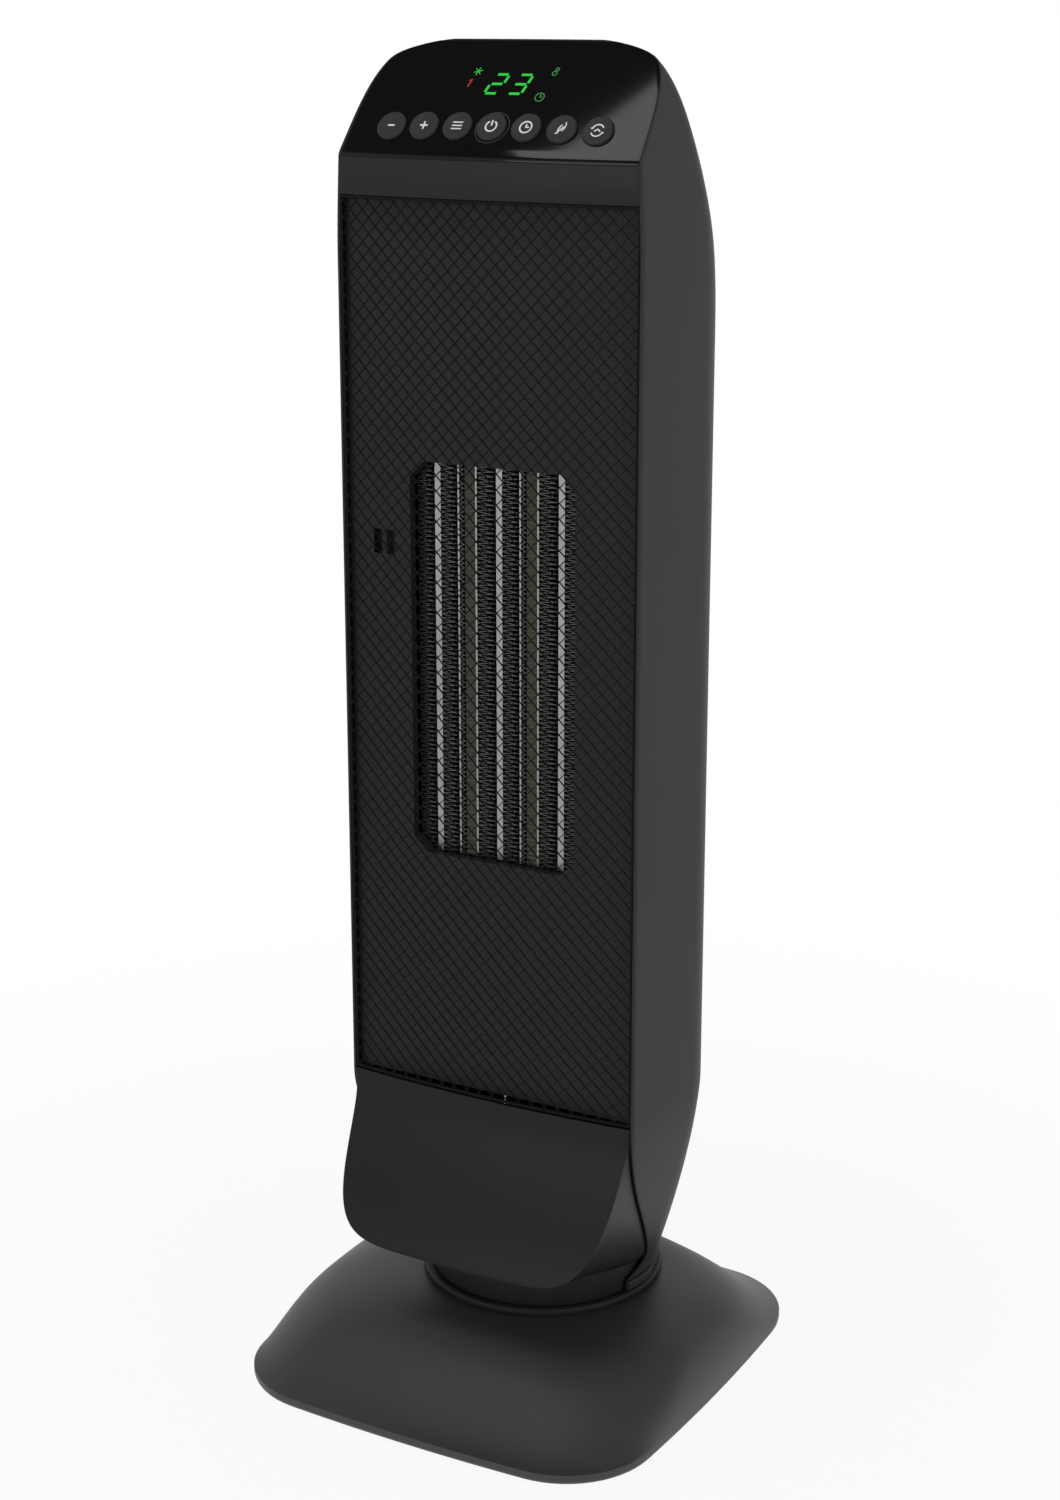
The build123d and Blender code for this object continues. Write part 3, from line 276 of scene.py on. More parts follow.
def solderMask(name, colour):
    finish = Finish(name)
    tracks = finish.make("ShaderNodeTexVoronoi", {"feature": "DISTANCE_TO_EDGE"},
                         {"Vector": finish.place(), "Scale": 260.0})
    copper = finish.out(tracks, "Distance") > 0.12
    return finish.set(colour=finish.between(copper, scaled(colour, 1.6), colour), roughness=0.32,
                      normal=finish.bump(copper, 0.2, 0.00004))


# one for each material slot of the frame, then those of single pieces
finishes = {
    "shell_plastic": mouldedPlastic("shellPlastic", grey(54), 0.48, gloss=0.12),
    "front_plastic": mouldedPlastic("chinPlastic", grey(37), 0.42, 0.0003, 0.000008, 0.12),
    "base_plastic": mouldedPlastic("basePlastic", grey(60), 0.45, gloss=0.5),
    "grille_plastic": mouldedPlastic("meshPlastic", grey(28), 0.6, 0.0002, 0.000006, 0.06),
    "baffle_plastic": mouldedPlastic("bafflePlastic", grey(60), 0.62, gloss=0.12),
    "inner_plastic": mouldedPlastic("innerPlastic", grey(36), 0.6, gloss=0.12),
    "gloss_panel": glossPlastic("panelGloss", grey(4), 0.05, 0.2),
    "button_plastic": mouldedPlastic("buttonPlastic", grey(58), 0.45, 0.0003, 0.000008, 0.14),
    "switch_plastic": mouldedPlastic("switchPlastic", grey(30), 0.4, gloss=0.2),
    "heat_plastic": mouldedPlastic("heatPlastic", grey(40), 0.6, gloss=0.2),
    "gear_plastic": mouldedPlastic("gearPlastic", grey(215), 0.42, 0.0003, 0.00001),
    "display_lens": glossPlastic("displayWindow", grey(8), 0.08, 0.2),
    "bright_bar": bareMetal("brightBar", grey(165), 0.38, (1.0, 1.0, 0.02)),
    "fin_metal": bareMetal("finMetal", grey(92), 0.5, (0.05, 1.0, 1.0)),
    "wheel_metal": bareMetal("wheelMetal", grey(120), 0.45, (1.0, 1.0, 0.05)),
    "steel": bareMetal("blackSteel", grey(55), 0.5, (1.0, 1.0, 0.1)),
    "brass": bareMetal("tinnedBrass", (0.62, 0.46, 0.2), 0.35, (0.1, 1.0, 1.0)),
    "heating_stone": firedCeramic("heatingCeramic", (0.04, 0.035, 0.024), (0.10, 0.088, 0.062)),
    "foot_rubber": softRubber("footRubber", grey(28)),
    "filter_fabric": wovenGauze("filterGauze", grey(40)),
    "circuit_board": solderMask("circuitBoard", (0.01, 0.09, 0.035)),
    "trim": mouldedPlastic("trimPlastic", grey(45), 0.42, 0.0003, 0.000008, 0.12),
    "ring": mouldedPlastic("ringPlastic", grey(42), 0.48, gloss=0.12),
    "green": litSign("greenDigits", (0.0, 0.55, 0.03), 1.0),
    "dimGreen": litSign("greenSigns", (0.01, 0.22, 0.03), 0.9),
    "red": litSign("redSign", (0.35, 0.006, 0.01), 0.9),
    # printed signs on the buttons, made to glow: painted light, since they are print and no lamps
    "glowingInk": litSign("glowingWhiteSigns", (0.6, 0.6, 0.6), 1.0),
    "dimInk": printedInk("dimInk", grey(58)),
}
print("finishes made")


# mesh helpers

weld = 0.000005
gridWeld = 0.00003
touch = 0.0001               # how near a line an edge lies that belongs to it


def gridShape(columns, rows, place):
    # a grid whose corners are put where place(across, up) says, each from 0 to 1
    bm = bmesh.new()
    bmesh.ops.create_grid(bm, x_segments=columns, y_segments=rows, size=1)
    for vert in bm.verts:
        vert.co = place((vert.co.x + 1) / 2, (vert.co.y + 1) / 2)
    bmesh.ops.remove_doubles(bm, verts=bm.verts, dist=gridWeld)
    return bm


def spunShape(profile, centre, segments=96):
    # profile of (radius, height) pairs turned round an upright axis
    bm = bmesh.new()
    verts = [bm.verts.new((centre[0] + radius, centre[1], height)) for radius, height in profile]
    edges = [bm.edges.new(pair) for pair in zip(verts, verts[1:])]
    bmesh.ops.spin(bm, geom=verts + edges, cent=(centre[0], centre[1], 0), axis=(0, 0, 1), angle=2 * math.pi,
                   steps=segments, use_merge=True)
    bmesh.ops.remove_doubles(bm, verts=bm.verts, dist=weld)
    bmesh.ops.recalc_face_normals(bm, faces=bm.faces)
    return bm


def meshFrom(bm, name):
    mesh = bpy.data.meshes.new(name)
    bm.to_mesh(mesh)
    bm.free()
    return mesh


def joinTo(bm, part):
    mesh = meshFrom(part, "part")
    bm.from_mesh(mesh)
    bpy.data.meshes.remove(mesh)


def cutPlane(bm, axis, place, direction=1, trim=False):
    point, normal = Vector((0, 0, 0)), Vector((0, 0, 0))
    point[axis], normal[axis] = place, direction
    bmesh.ops.bisect_plane(bm, geom=bm.verts[:] + bm.edges[:] + bm.faces[:], plane_co=point, plane_no=normal,
                           dist=weld, clear_outer=trim)


def cutLines(bm, axis, places):
    for place in places:
        cutPlane(bm, axis, place)


def openFaces(bm, inside):
    # deletes the faces whose middle passes the test
    faces = [face for face in bm.faces if inside(face.calc_center_median())]
    bmesh.ops.delete(bm, geom=faces, context="FACES")


def outwards(bm, middle):
    # turns the faces of an open skin away from a point inside it
    bmesh.ops.recalc_face_normals(bm, faces=bm.faces)
    away = [(face.calc_center_median() - middle).dot(face.normal) * face.calc_area() for face in bm.faces]
    if sum(away) < 0:
        bmesh.ops.reverse_faces(bm, faces=bm.faces)


def bevelModifier(piece, width, segments):
    bevel = piece.modifiers.new("bevel", "BEVEL")
    bevel.width = width
    bevel.segments = segments
    bevel.limit_method = "ANGLE"
    bevel.angle_limit = math.radians(35)
    bevel.use_clamp_overlap = True


def applyModifiers(piece):
    old = piece.data
    graph = bpy.context.evaluated_depsgraph_get()
    piece.data = bpy.data.meshes.new_from_object(piece.evaluated_get(graph))
    piece.modifiers.clear()
    bpy.data.meshes.remove(old)
    piece.data.name = piece.name


def shadeSmooth(piece, sharp):
    piece.data.shade_smooth()
    piece.data.set_sharp_from_angle(angle=math.radians(sharp))


def addPiece(bm, name, body, finish, stands=(), wall=0.0, edge=0.0, segments=2, sharp=40, smooth=True):
    piece = addObject(name, meshFrom(bm, name))
    if wall:
        solid = piece.modifiers.new("wall", "SOLIDIFY")
        solid.thickness = wall
        solid.offset = -1
        solid.use_even_offset = True
    if edge:
        bevelModifier(piece, edge, segments)
    if wall or edge:
        applyModifiers(piece)
    if smooth:
        shadeSmooth(piece, sharp)
    piece.data.materials.clear()
    piece.data.materials.append(finishes[finish])
    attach(piece, body)
    if stands:
        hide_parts(*stands)
        slotOf(stands[0])
    return piece


slotOfNode = {entry["node"]: entry["material_slot"] for entry in frame["record"]["subparts"]}


def slotOf(node):
    return slotOfNode[node]


def shareOf(value, start, end):
    # how far a value has come from start to end, from 0 to 1
    return min(max((value - start) / (end - start), 0.0), 1.0)


# tower skin: the same plan at every height as the frame's shells

tower = {
    "halfWidth": 0.079,
    "front": -0.032,
    "depth": 0.117,
    "flatSide": 0.564,
    "neckLow": 0.051,
    "foot": 0.0437,          # lower edge of the dressed shells, just above the swivel ring's rim
    "sweepTop": 0.066,       # below this the front edge sweeps forward to the lip
    "neckFoot": 0.0595,
    "swivelY": 0.022,
    "shoulder": 0.150,
    "dome": 0.520,
    "crease": 0.600,
    "top": 0.650,
    "crest": 0.007,
    "bulge": 0.004,
    "frontHalf": 0.0776,
    "wall": 0.0011,
    "domeTrim": 0.0017,      # how much narrower the dome is than its powers say, and where
    "domeTrimRise": (0.555, 0.615),
    "domeTrimEnd": 0.640,
    "seam": 0.050,
    "gap": 0.0003,
    "edge": 0.0004,
    "lipWidth": 0.0032,      # low lip that runs forward from each shell, round the neck
    "lipHeight": 0.005,
    "lipFront": 0.0062,
    "lipStart": 0.0001,
    "lipOverlap": 0.1,       # radians of the lip inside its shell
    "lipRound": 0.0012,
    "edgeOverlap": 0.001,    # how far behind the swivel axis the front edge ends
    "rowShares": (0.3, 0.4), # rows of a shell up to the shoulder, and to the dome
    # powers for half width, end of the flat side and back, and the front edge of a side shell
    "neckPowers": ((1.6, 1.0), (1.2, 1.4), (6.0, 1.0)),
    "domePowers": ((10.0, 0.5), (2.9, 1.65), (2.2, 1.25)),
    "crestShares": (0.65, 0.25, 0.372),
    "edgePowers": (1.4, 2.0),
}


def closing(up, powers, last, first=1.0):
    rise, fall = powers
    return last + (first - last) * max(1 - up ** rise, 0.0) ** fall


def towerShape(z):
    # half width, then the end of the flat side and the back as places along Y
    front, depth, half = tower["front"], tower["depth"], tower["halfWidth"]
    full = (half, front + tower["flatSide"] * depth, front + depth)
    if z < tower["shoulder"]:
        away = shareOf(z, tower["shoulder"], tower["neckLow"])
        foot = (tower["neckFoot"], tower["swivelY"], tower["swivelY"] + tower["neckFoot"])
        return [closing(away, *law) for law in zip(tower["neckPowers"], foot, full)]
    if z > tower["dome"]:
        away = shareOf(z, tower["dome"], tower["top"])
        wide, flat, back = tower["crestShares"]
        crest = (wide * half, front + flat * depth, front + back * depth)
        shape = [closing(away, *law) for law in zip(tower["domePowers"], crest, full)]
        part = shareOf(z, *tower["domeTrimRise"])
        late = shareOf(z, tower["domeTrimEnd"], tower["top"])
        shape[0] -= tower["domeTrim"] * part * part * (3 - 2 * part) * (1 - late ** 2)
        return shape
    return full


def frontEdge(z):
    if z > tower["crease"]:
        return tower["front"] + shareOf(z, tower["crease"], tower["top"]) * (tower["crest"] - tower["front"])
    if z < tower["shoulder"]:
        up = shareOf(z, tower["neckLow"], tower["shoulder"])
        edge = closing(up, tower["edgePowers"], tower["front"], tower["swivelY"] + tower["edgeOverlap"])
        down = shareOf(z, tower["sweepTop"], tower["foot"] + tower["lipHeight"])
        return edge + (tower["lipFront"] - edge) * down ** 3
    return tower["front"]


def frontAngle(z):
    half, sideEnd, back = towerShape(z)
    return math.asin(shareOf(frontEdge(z), sideEnd, back))


def seamAngle(z, seam):
    half = towerShape(z)[0]
    return max(math.acos(min(seam / half, 1.0)), frontAngle(z))


def ellipsePoint(z, angle):
    half, sideEnd, back = towerShape(z)
    return Vector((half * math.cos(angle), sideEnd + (back - sideEnd) * math.sin(angle), z))


def shellTop():
    # where the front edge reaches the seam
    low, high = tower["crease"], tower["top"]
    for step in range(30):
        middle = (low + high) / 2
        if ellipsePoint(middle, frontAngle(middle)).x > tower["seam"]:
            low = middle
        else:
            high = middle
    return low


def heightAt(v, top):
    # rows are dense in the neck and towards the crest
    low, shoulder, dome = tower["foot"], tower["shoulder"], tower["dome"]
    neckShare, sideShare = tower["rowShares"]
    if v < neckShare:
        return low + (shoulder - low) * v / neckShare
    if v < sideShare:
        return shoulder + (dome - shoulder) * shareOf(v, neckShare, sideShare)
    return dome + (top - dome) * math.sin(math.pi / 2 * shareOf(v, sideShare, 1))


def alongLine(line, share):
    lengths = [0.0]
    for first, second in zip(line, line[1:]):
        lengths.append(lengths[-1] + (second - first).length)
    goal = share * lengths[-1]
    for index in range(1, len(line)):
        if lengths[index] >= goal:
            span = lengths[index] - lengths[index - 1]
            part = (goal - lengths[index - 1]) / span if span > 0 else 0.0
            return line[index - 1].lerp(line[index], part)
    return line[-1]


insideTower = Vector((0, 0.02, 0.33))
behindFront = Vector((0, 0.1, 0.36))


def sideShell(sign):
    seam = tower["seam"] + tower["gap"] / 2
    top = shellTop()

    @functools.cache
    def lineAt(z):
        half, sideEnd, back = towerShape(z)
        start = frontEdge(z)
        line = []
        if start < sideEnd:
            # flat side, which turns into the neck's circle at the foot
            turned = shareOf(z, tower["sweepTop"], tower["sweepTop"] - tower["lipHeight"])
            for step in range(12):
                y = start + (sideEnd - start) * step / 12
                inward = half - math.sqrt(half ** 2 - (sideEnd - y) ** 2)
                line.append(Vector((half - turned * inward, y, z)))
        first, last = frontAngle(z), seamAngle(z, seam)
        return line + [ellipsePoint(z, first + (last - first) * step / 40) for step in range(41)]

    def place(across, up):
        point = alongLine(lineAt(heightAt(up, top)), across)
        return Vector((sign * point.x, point.y, point.z))

    bm = gridShape(32, 130, place)
    outwards(bm, insideTower)
    side = "right" if sign > 0 else "left"
    addPiece(bm, side + "Shell", "tower", "shell_plastic", [side + "_side_shell"], tower["wall"],
             tower["edge"])

    # low lip that carries on in front of the shell, round the neck
    inner, outer = tower["neckFoot"] - tower["wall"], tower["neckFoot"] + tower["lipWidth"] / 2
    low, high = tower["foot"], tower["foot"] + tower["lipHeight"]
    start = math.asin((tower["lipFront"] - tower["swivelY"]) / tower["neckFoot"])
    bm = bmesh.new()
    corners = ((inner, low), (inner, high), (outer, high), (outer, low))
    face = bm.faces.new([bm.verts.new((x, tower["lipStart"], z)) for x, z in corners])
    bmesh.ops.rotate(bm, verts=bm.verts, cent=(0, 0, 0), matrix=Matrix.Rotation(start, 3, "Z"))
    bmesh.ops.spin(bm, geom=[face], cent=(0, 0, 0), axis=(0, 0, 1), steps=24,
                   angle=tower["lipOverlap"] - start)
    bmesh.ops.translate(bm, verts=bm.verts, vec=(0, tower["swivelY"], 0))
    bmesh.ops.scale(bm, vec=(sign, 1, 1), verts=bm.verts)
    bmesh.ops.remove_doubles(bm, verts=bm.verts, dist=weld)
    bmesh.ops.recalc_face_normals(bm, faces=bm.faces)
    piece = addPiece(bm, side + "Lip", "tower", "shell_plastic", edge=tower["lipRound"], segments=4)


back = {
    # half width, low and high edge of each opening
    "intake": (0.031, 0.186, 0.504),
    "handle": (0.038, 0.570, 0.600),
    "switch": (0.01365, 0.10495, 0.12705),
    "handleFloor": 0.036,
    "crestShare": 0.95,      # the last rows close the crest
    "slotRows": 20,
    "slotHeight": 0.007,
    "slotBorder": 0.0045,
    "middleBar": 0.005,
    "panelGap": 0.0004,
}


def openWindow(bm, half, low, high):
    openFaces(bm, lambda middle: abs(middle.x) < half and low < middle.z < high and middle.y > 0)


def drawRim(bm, half, low, high, depth):
    # draws the rim of a window to another place along Y
    rim = []
    for edge in bm.edges:
        ends = [vert.co for vert in edge.verts]
        within = all(abs(end.x) < half + touch and low - touch < end.z < high + touch for end in ends)
        if within and edge.is_boundary:
            rim.append(edge)
    walls = bmesh.ops.extrude_edge_only(bm, edges=rim)["geom"]
    for item in walls:
        if isinstance(item, bmesh.types.BMVert):
            item.co.y = depth
    return walls


def rearCover():
    seam = tower["seam"] - tower["gap"] / 2
    crestShare = back["crestShare"]

    @functools.cache
    def lineAt(z):
        first = seamAngle(z, seam)
        return [ellipsePoint(z, first + (math.pi - 2 * first) * step / 60) for step in range(61)]

    def place(across, up):
        point = alongLine(lineAt(heightAt(min(up / crestShare, 1.0), tower["top"])), across)
        return point.lerp(Vector((point.x, tower["crest"], point.z)), shareOf(up, crestShare, 1))

    bm = gridShape(48, 140, place)
    outwards(bm, insideTower)
    windows = back["intake"], back["switch"], back["handle"]
    for half, low, high in windows:
        cutLines(bm, 0, (half, -half))
        cutLines(bm, 2, (low, high))
    for window in windows:
        openWindow(bm, *window)

    # hand recess: the rim of its opening drawn inwards to a floor
    walls = drawRim(bm, *back["handle"], back["handleFloor"])
    floorEdges = [item for item in walls if isinstance(item, bmesh.types.BMEdge) and item.is_boundary]
    bmesh.ops.contextual_create(bm, geom=floorEdges)
    bmesh.ops.recalc_face_normals(bm, faces=bm.faces)
    outer = max(bm.faces, key=lambda face: face.calc_center_median().y)
    if outer.normal.y < 0:
        bmesh.ops.reverse_faces(bm, faces=bm.faces)
    addPiece(bm, "rearCover", "tower", "shell_plastic", ["rear_cover"], tower["wall"], tower["edge"])


def intakeGrille():
    gap, border = back["panelGap"], back["slotBorder"]
    half, low, high = back["intake"]
    half, low, high = half - gap, low + gap, high - gap
    pitch = (high - low - 2 * border) / back["slotRows"]
    sideHalf, sideEnd, rear = towerShape(low)

    def place(across, up):
        x = half * (2 * across - 1)
        y = sideEnd + (rear - sideEnd) * math.sqrt(1 - (x / sideHalf) ** 2)
        return Vector((x, y, low + (high - low) * up))

    bm = gridShape(20, 1, place)
    outwards(bm, insideTower)
    near, far = back["middleBar"] / 2, half - border
    cutLines(bm, 0, (-far, -near, near, far))
    spans = []
    for row in range(back["slotRows"]):
        middle = low + border + (row + 0.5) * pitch
        spans.append((middle - back["slotHeight"] / 2, middle + back["slotHeight"] / 2))
    cutLines(bm, 2, [level for span in spans for level in span])
    openFaces(bm, lambda middle: near < abs(middle.x) < far and any(a < middle.z < b for a, b in spans))
    addPiece(bm, "intakeGrille", "intake_panel", "grille_plastic", ["intake_grille"], tower["wall"],
             tower["edge"])


# base

base = {
    "width": 0.2232,
    "depth": 0.2322,
    "low": 0.0026,
    "rim": 0.0082,
    "top": 0.042,
    "corner": 0.0467,
    "turn": 3.2,             # degrees
    "edge": 0.003,
    "neck": 0.061,
    "wall": 0.003,
    "sidePowers": (3.0, 0.61),
    "frontPowers": (0.68, 0.635),
    "backPowers": (1.0, 2.0),
    "cornerPower": 2.6,
    "innerRing": 0.052,
    "dip": 0.0032,           # how far the crown falls away just before the neck
    "dipStart": 0.55,
    "rowShares": (0.1, 0.14, 0.96), # rows up to the end of the rounded edge, the rim and the crown
    "ringTop": 0.0482,
    "rimTop": 0.0432,
    "bore": 0.008,
    "boss": 0.01195,
    "underside": 0.0436,     # of the turning plate, over the slide ring
    "skirtInside": 0.0516,
    "skirtPlace": 0.0546,
    "skirtSlant": 0.0006,
    # outline of the ring: inwards from its widest, and up from its foot or its rim
    "ringFoot": ((0.0006, 0.0), (0.0, 0.0008)),
    "ringRim": ((0.0, -0.0012), (0.0005, -0.0003), (0.0014, 0.0), (0.0028, 0.0), (0.0034, -0.0010)),
    "ringLift": 0.0006,
}


def softSquare(halfX, halfY, corner, inset, across):
    # point on the footprint of eight tangent arcs, across from 0 to 1
    turn = math.radians(base["turn"])
    rise, drop = math.sin(turn), 1 - math.cos(turn)
    freeX, freeY = halfX - corner, halfY - corner
    spread = rise ** 2 - drop ** 2
    longY = (freeX * rise - freeY * drop) / spread
    longX = (freeY * rise - freeX * drop) / spread
    arc = min(int(across * 8), 7)
    part = across * 8 - arc
    quarter = arc // 2
    signX, signY = ((1, 1), (-1, 1), (-1, -1), (1, -1))[quarter]
    if arc % 2 == 0:
        centre = (signX * longY * rise, signY * longX * rise)
        radius = corner
        angle = math.pi / 2 * quarter + turn + part * (math.pi / 2 - 2 * turn)
    else:
        angle = math.pi / 2 * (quarter + 1) + (2 * part - 1) * turn
        if quarter % 2 == 0:
            centre, radius = (0, signY * (halfY - corner - longY)), corner + longY
        else:
            centre, radius = (signX * (halfX - corner - longX), 0), corner + longX
    radius -= inset
    return centre[0] + radius * math.cos(angle), centre[1] + radius * math.sin(angle)


def baseHousing():
    halfWidth, halfDepth, edge = base["width"] / 2, base["depth"] / 2, base["edge"]
    neck, swivelY = base["neck"], tower["swivelY"]
    rimHeight = base["rim"] - base["low"] - edge
    edgeShare, rimShare, crownShare = base["rowShares"]

    def place(across, up):
        if up < rimShare:
            angle = math.pi / 2 * min(up / edgeShare, 1.0)
            x, y = softSquare(halfWidth, halfDepth, base["corner"], edge * (1 - math.sin(angle)), across)
            level = base["low"] + edge * (1 - math.cos(angle)) + rimHeight * shareOf(up, edgeShare, rimShare)
            return Vector((x, y, level))
        rise = 1 - (1 - shareOf(up, rimShare, crownShare)) ** 2
        side, front, rear = (closing(rise, base[end + "Powers"], 0) for end in ("side", "front", "back"))
        frontY = swivelY - neck - front * (halfDepth + swivelY - neck)
        rearY = swivelY + neck + rear * (halfDepth - swivelY - neck)
        corner = neck + (base["corner"] - neck) * ((side + front + rear) / 3) ** base["cornerPower"]
        inset = shareOf(up, crownShare, 1) * (neck - base["innerRing"])
        x, y = softSquare(neck + side * (halfWidth - neck), (rearY - frontY) / 2, corner, inset, across)
        near = shareOf(rise, base["dipStart"], 1)
        level = base["rim"] + rise * (base["top"] - base["rim"]) - base["dip"] * near ** 2
        return Vector((x, y + (rearY + frontY) / 2, level))

    bm = gridShape(112, 100, place)
    outwards(bm, Vector((0, 0, 0.01)))
    addPiece(bm, "baseHousing", "base", "base_plastic", ["base_housing"], base["wall"], sharp=50)


def swivelRing():
    low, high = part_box("turntable")
    outer, rim, under = high.x, base["rimTop"], base["underside"]
    bore, boss, inside, seat = base["bore"], base["boss"], base["skirtInside"], base["skirtPlace"]
    ringLow = base["top"] - base["dip"] + base["ringLift"]
    profile = [(bore, low.z), (boss, low.z), (boss, under), (inside, under), (inside, ringLow)]
    profile += [(outer - inwards, ringLow + rise) for inwards, rise in base["ringFoot"]]
    profile += [(outer - inwards, rim + rise) for inwards, rise in base["ringRim"]]
    profile += [(seat, profile[-1][1]), (seat - base["skirtSlant"], base["ringTop"])]
    profile += [(bore, base["ringTop"]), (bore, low.z)]
    bm = spunShape(profile, (0, tower["swivelY"]), 128)
    addPiece(bm, "swivelRing", "tower", "ring", ["turntable"], sharp=50)


# lower front cover

chin = {
    "halfWidth": 0.0762,
    "top": 0.1506,
    "bottom": 0.075,
    "reach": 0.033,
    "reachPowers": (1.7, 1.35),
    "bow": 0.0038,
    "widthPower": 0.294,     # of the cosine, and of the sine below, round the outline
    "heightPower": 0.625,
    "turnShare": 0.5,        # share of the outline that belongs to the sides
    "sideGap": 0.0014,
    "neckRadius": 0.0568,
    "neckOverlap": 0.004,    # of the round neck, behind the cover
    "neckDrop": 0.0008,      # its foot lies this far inside the swivel ring
    "heel": 0.0590,
    "wall": 0.0025,
    "edge": 0.0011,
}


def chinDepth(x, down):
    reach = 1 - closing(down, chin["reachPowers"], 0)
    bow = chin["bow"] * (1 - (x / chin["halfWidth"]) ** 2)
    return tower["front"] - tower["gap"] - chin["reach"] * reach - bow


def chinEdge(turn):
    # the crisp edge of the front face, from its top corner round to the middle of its lower edge
    down = math.sin(turn) ** chin["heightPower"]
    x = chin["halfWidth"] * max(math.cos(turn), 0.0) ** chin["widthPower"] if turn < math.pi / 2 else 0.0
    return x, down


def chinHeel(turn):
    # where its sides and underside end: down the side shell's edge, then round the neck
    share = turn / (math.pi / 2) / chin["turnShare"]
    z = max(chin["top"] - (chin["top"] - chin["heel"]) * share, chin["heel"])
    start = Vector((towerShape(z)[0] - chin["sideGap"], frontEdge(z) - tower["gap"], z))
    if share < 1:
        return start
    angle = (share - 1) / (1 / chin["turnShare"] - 1) * math.pi / 2
    fade = max(math.cos(angle), 0.0) ** 4
    radius = chin["neckRadius"] + (start.x - chin["neckRadius"]) * fade
    y = tower["swivelY"] - radius * math.sin(angle) + (start.y - tower["swivelY"]) * fade
    return Vector((radius * math.cos(angle), y, z))


def lowerFrontCover():
    height = chin["top"] - chin["bottom"]

    def facePlace(across, up):
        edge, down = chinEdge(math.pi / 2 * up)
        x = (2 * across - 1) * edge
        return Vector((x, chinDepth(x, down), chin["top"] - down * height))

    def sidePlace(sign, across, up):
        point = facePlace(1, up).lerp(chinHeel(math.pi / 2 * up), across)
        return Vector((sign * point.x, point.y, point.z))

    bm = gridShape(48, 90, facePlace)
    for sign in (1, -1):
        joinTo(bm, gridShape(14, 90, functools.partial(sidePlace, sign)))
    bmesh.ops.remove_doubles(bm, verts=bm.verts, dist=gridWeld)
    outwards(bm, Vector((0, -0.02, 0.11)))
    addPiece(bm, "lowerFrontCover", "tower", "front_plastic", ["lower_front_cover"], chin["wall"],
             chin["edge"], 4, 30)

    # round neck under the cover
    outer, inner = chin["neckRadius"], chin["neckRadius"] - chin["wall"]
    low, high = base["rimTop"] - chin["neckDrop"], chin["heel"] + chin["neckOverlap"]
    profile = ((inner, low), (outer, low), (outer, high), (inner, high), (inner, low))
    bm = spunShape(profile, (0, tower["swivelY"]), 128)
    piece = addPiece(bm, "neckSkirt", "tower", "ring", edge=tower["edge"])


# bowed front pieces

def bowedFront(x):
    # place along Y of the bowed front
    return tower["front"] - tower["bulge"] * (1 - (x / tower["frontHalf"]) ** 2)


grille = {
    "low": 0.1515,
    "high": 0.5814,
    "border": 0.0012,
    "frameThickness": 0.002,
    "meshThickness": 0.0007,
    "meshSetback": 0.0004,
    "pitch": 0.0072,         # diagonal of one diamond
    "rib": 0.00034,
    "tuck": 0.0008,          # the mesh ends this far under its frame
    "leastOpening": 0.12,    # share of a cell from which a trimmed one is opened
    "frameRound": 0.0005,
    "trimRound": 0.00015,
    "trimLow": 0.5817,
    "trimGap": 0.0001,
    "trimThickness": 0.0025,
}


def bowedBand(zSpan):
    def place(across, up):
        x = (2 * across - 1) * tower["frontHalf"]
        return Vector((x, bowedFront(x), zSpan[0] + (zSpan[1] - zSpan[0]) * up))

    bm = gridShape(48, 2, place)
    outwards(bm, behindFront)
    return bm


def frontMesh():
    low, high, border, tuck = grille["low"], grille["high"], grille["border"], grille["tuck"]
    inner = tower["frontHalf"] - border
    bm = bowedBand((low, high))
    cutLines(bm, 0, (-inner, inner))
    cutLines(bm, 2, (low + border, high - border))
    openFaces(bm, lambda middle: abs(middle.x) < inner and low + border < middle.z < high - border)
    addPiece(bm, "grilleFrame", "tower", "grille_plastic", ["front_grille"], grille["frameThickness"],
             grille["frameRound"])

    # net of diamonds: a turned grid, trimmed to the frame, each cell opened
    cell = grille["pitch"] / math.sqrt(2)
    cells = int((high - low) * 1.5 / cell) // 2 * 2
    bm = bmesh.new()
    bmesh.ops.create_grid(bm, x_segments=cells, y_segments=cells, size=cells * cell / 2)
    for turn, axis in ((math.pi / 4, "Z"), (math.pi / 2, "X")):
        bmesh.ops.rotate(bm, verts=bm.verts, cent=(0, 0, 0), matrix=Matrix.Rotation(turn, 3, axis))
    bmesh.ops.translate(bm, verts=bm.verts, vec=(0, 0, (low + high) / 2))
    for axis, place, direction in ((0, inner + tuck, 1), (0, -inner - tuck, -1),
                                   (2, high - border + tuck, 1), (2, low + border - tuck, -1)):
        cutPlane(bm, axis, place, direction, True)
    openings = [face for face in bm.faces if face.calc_area() > grille["leastOpening"] * cell ** 2]
    bmesh.ops.inset_individual(bm, faces=openings, thickness=grille["rib"] / 2, use_even_offset=True)
    bmesh.ops.delete(bm, geom=openings, context="FACES")
    for vert in bm.verts:
        vert.co.y = bowedFront(vert.co.x) + grille["meshSetback"]
    outwards(bm, behindFront)
    piece = addPiece(bm, "grilleMesh", "tower", "grille_plastic", wall=grille["meshThickness"], smooth=False)


baffle = {
    "front": -0.0277,
    "thickness": 0.0015,
    "half": 0.0772,
    "windowHalf": 0.044,
    "windowLow": 0.270,
    "windowHigh": 0.461,
    "chamfer": 0.0075,
    "wallBack": -0.0208,
    "slotWidth": 0.0046,
    "slotPitch": 0.007,
    "slotMiddle": -0.0586,
    "slotLow": 0.4151,
    "slotHigh": 0.4269,
}


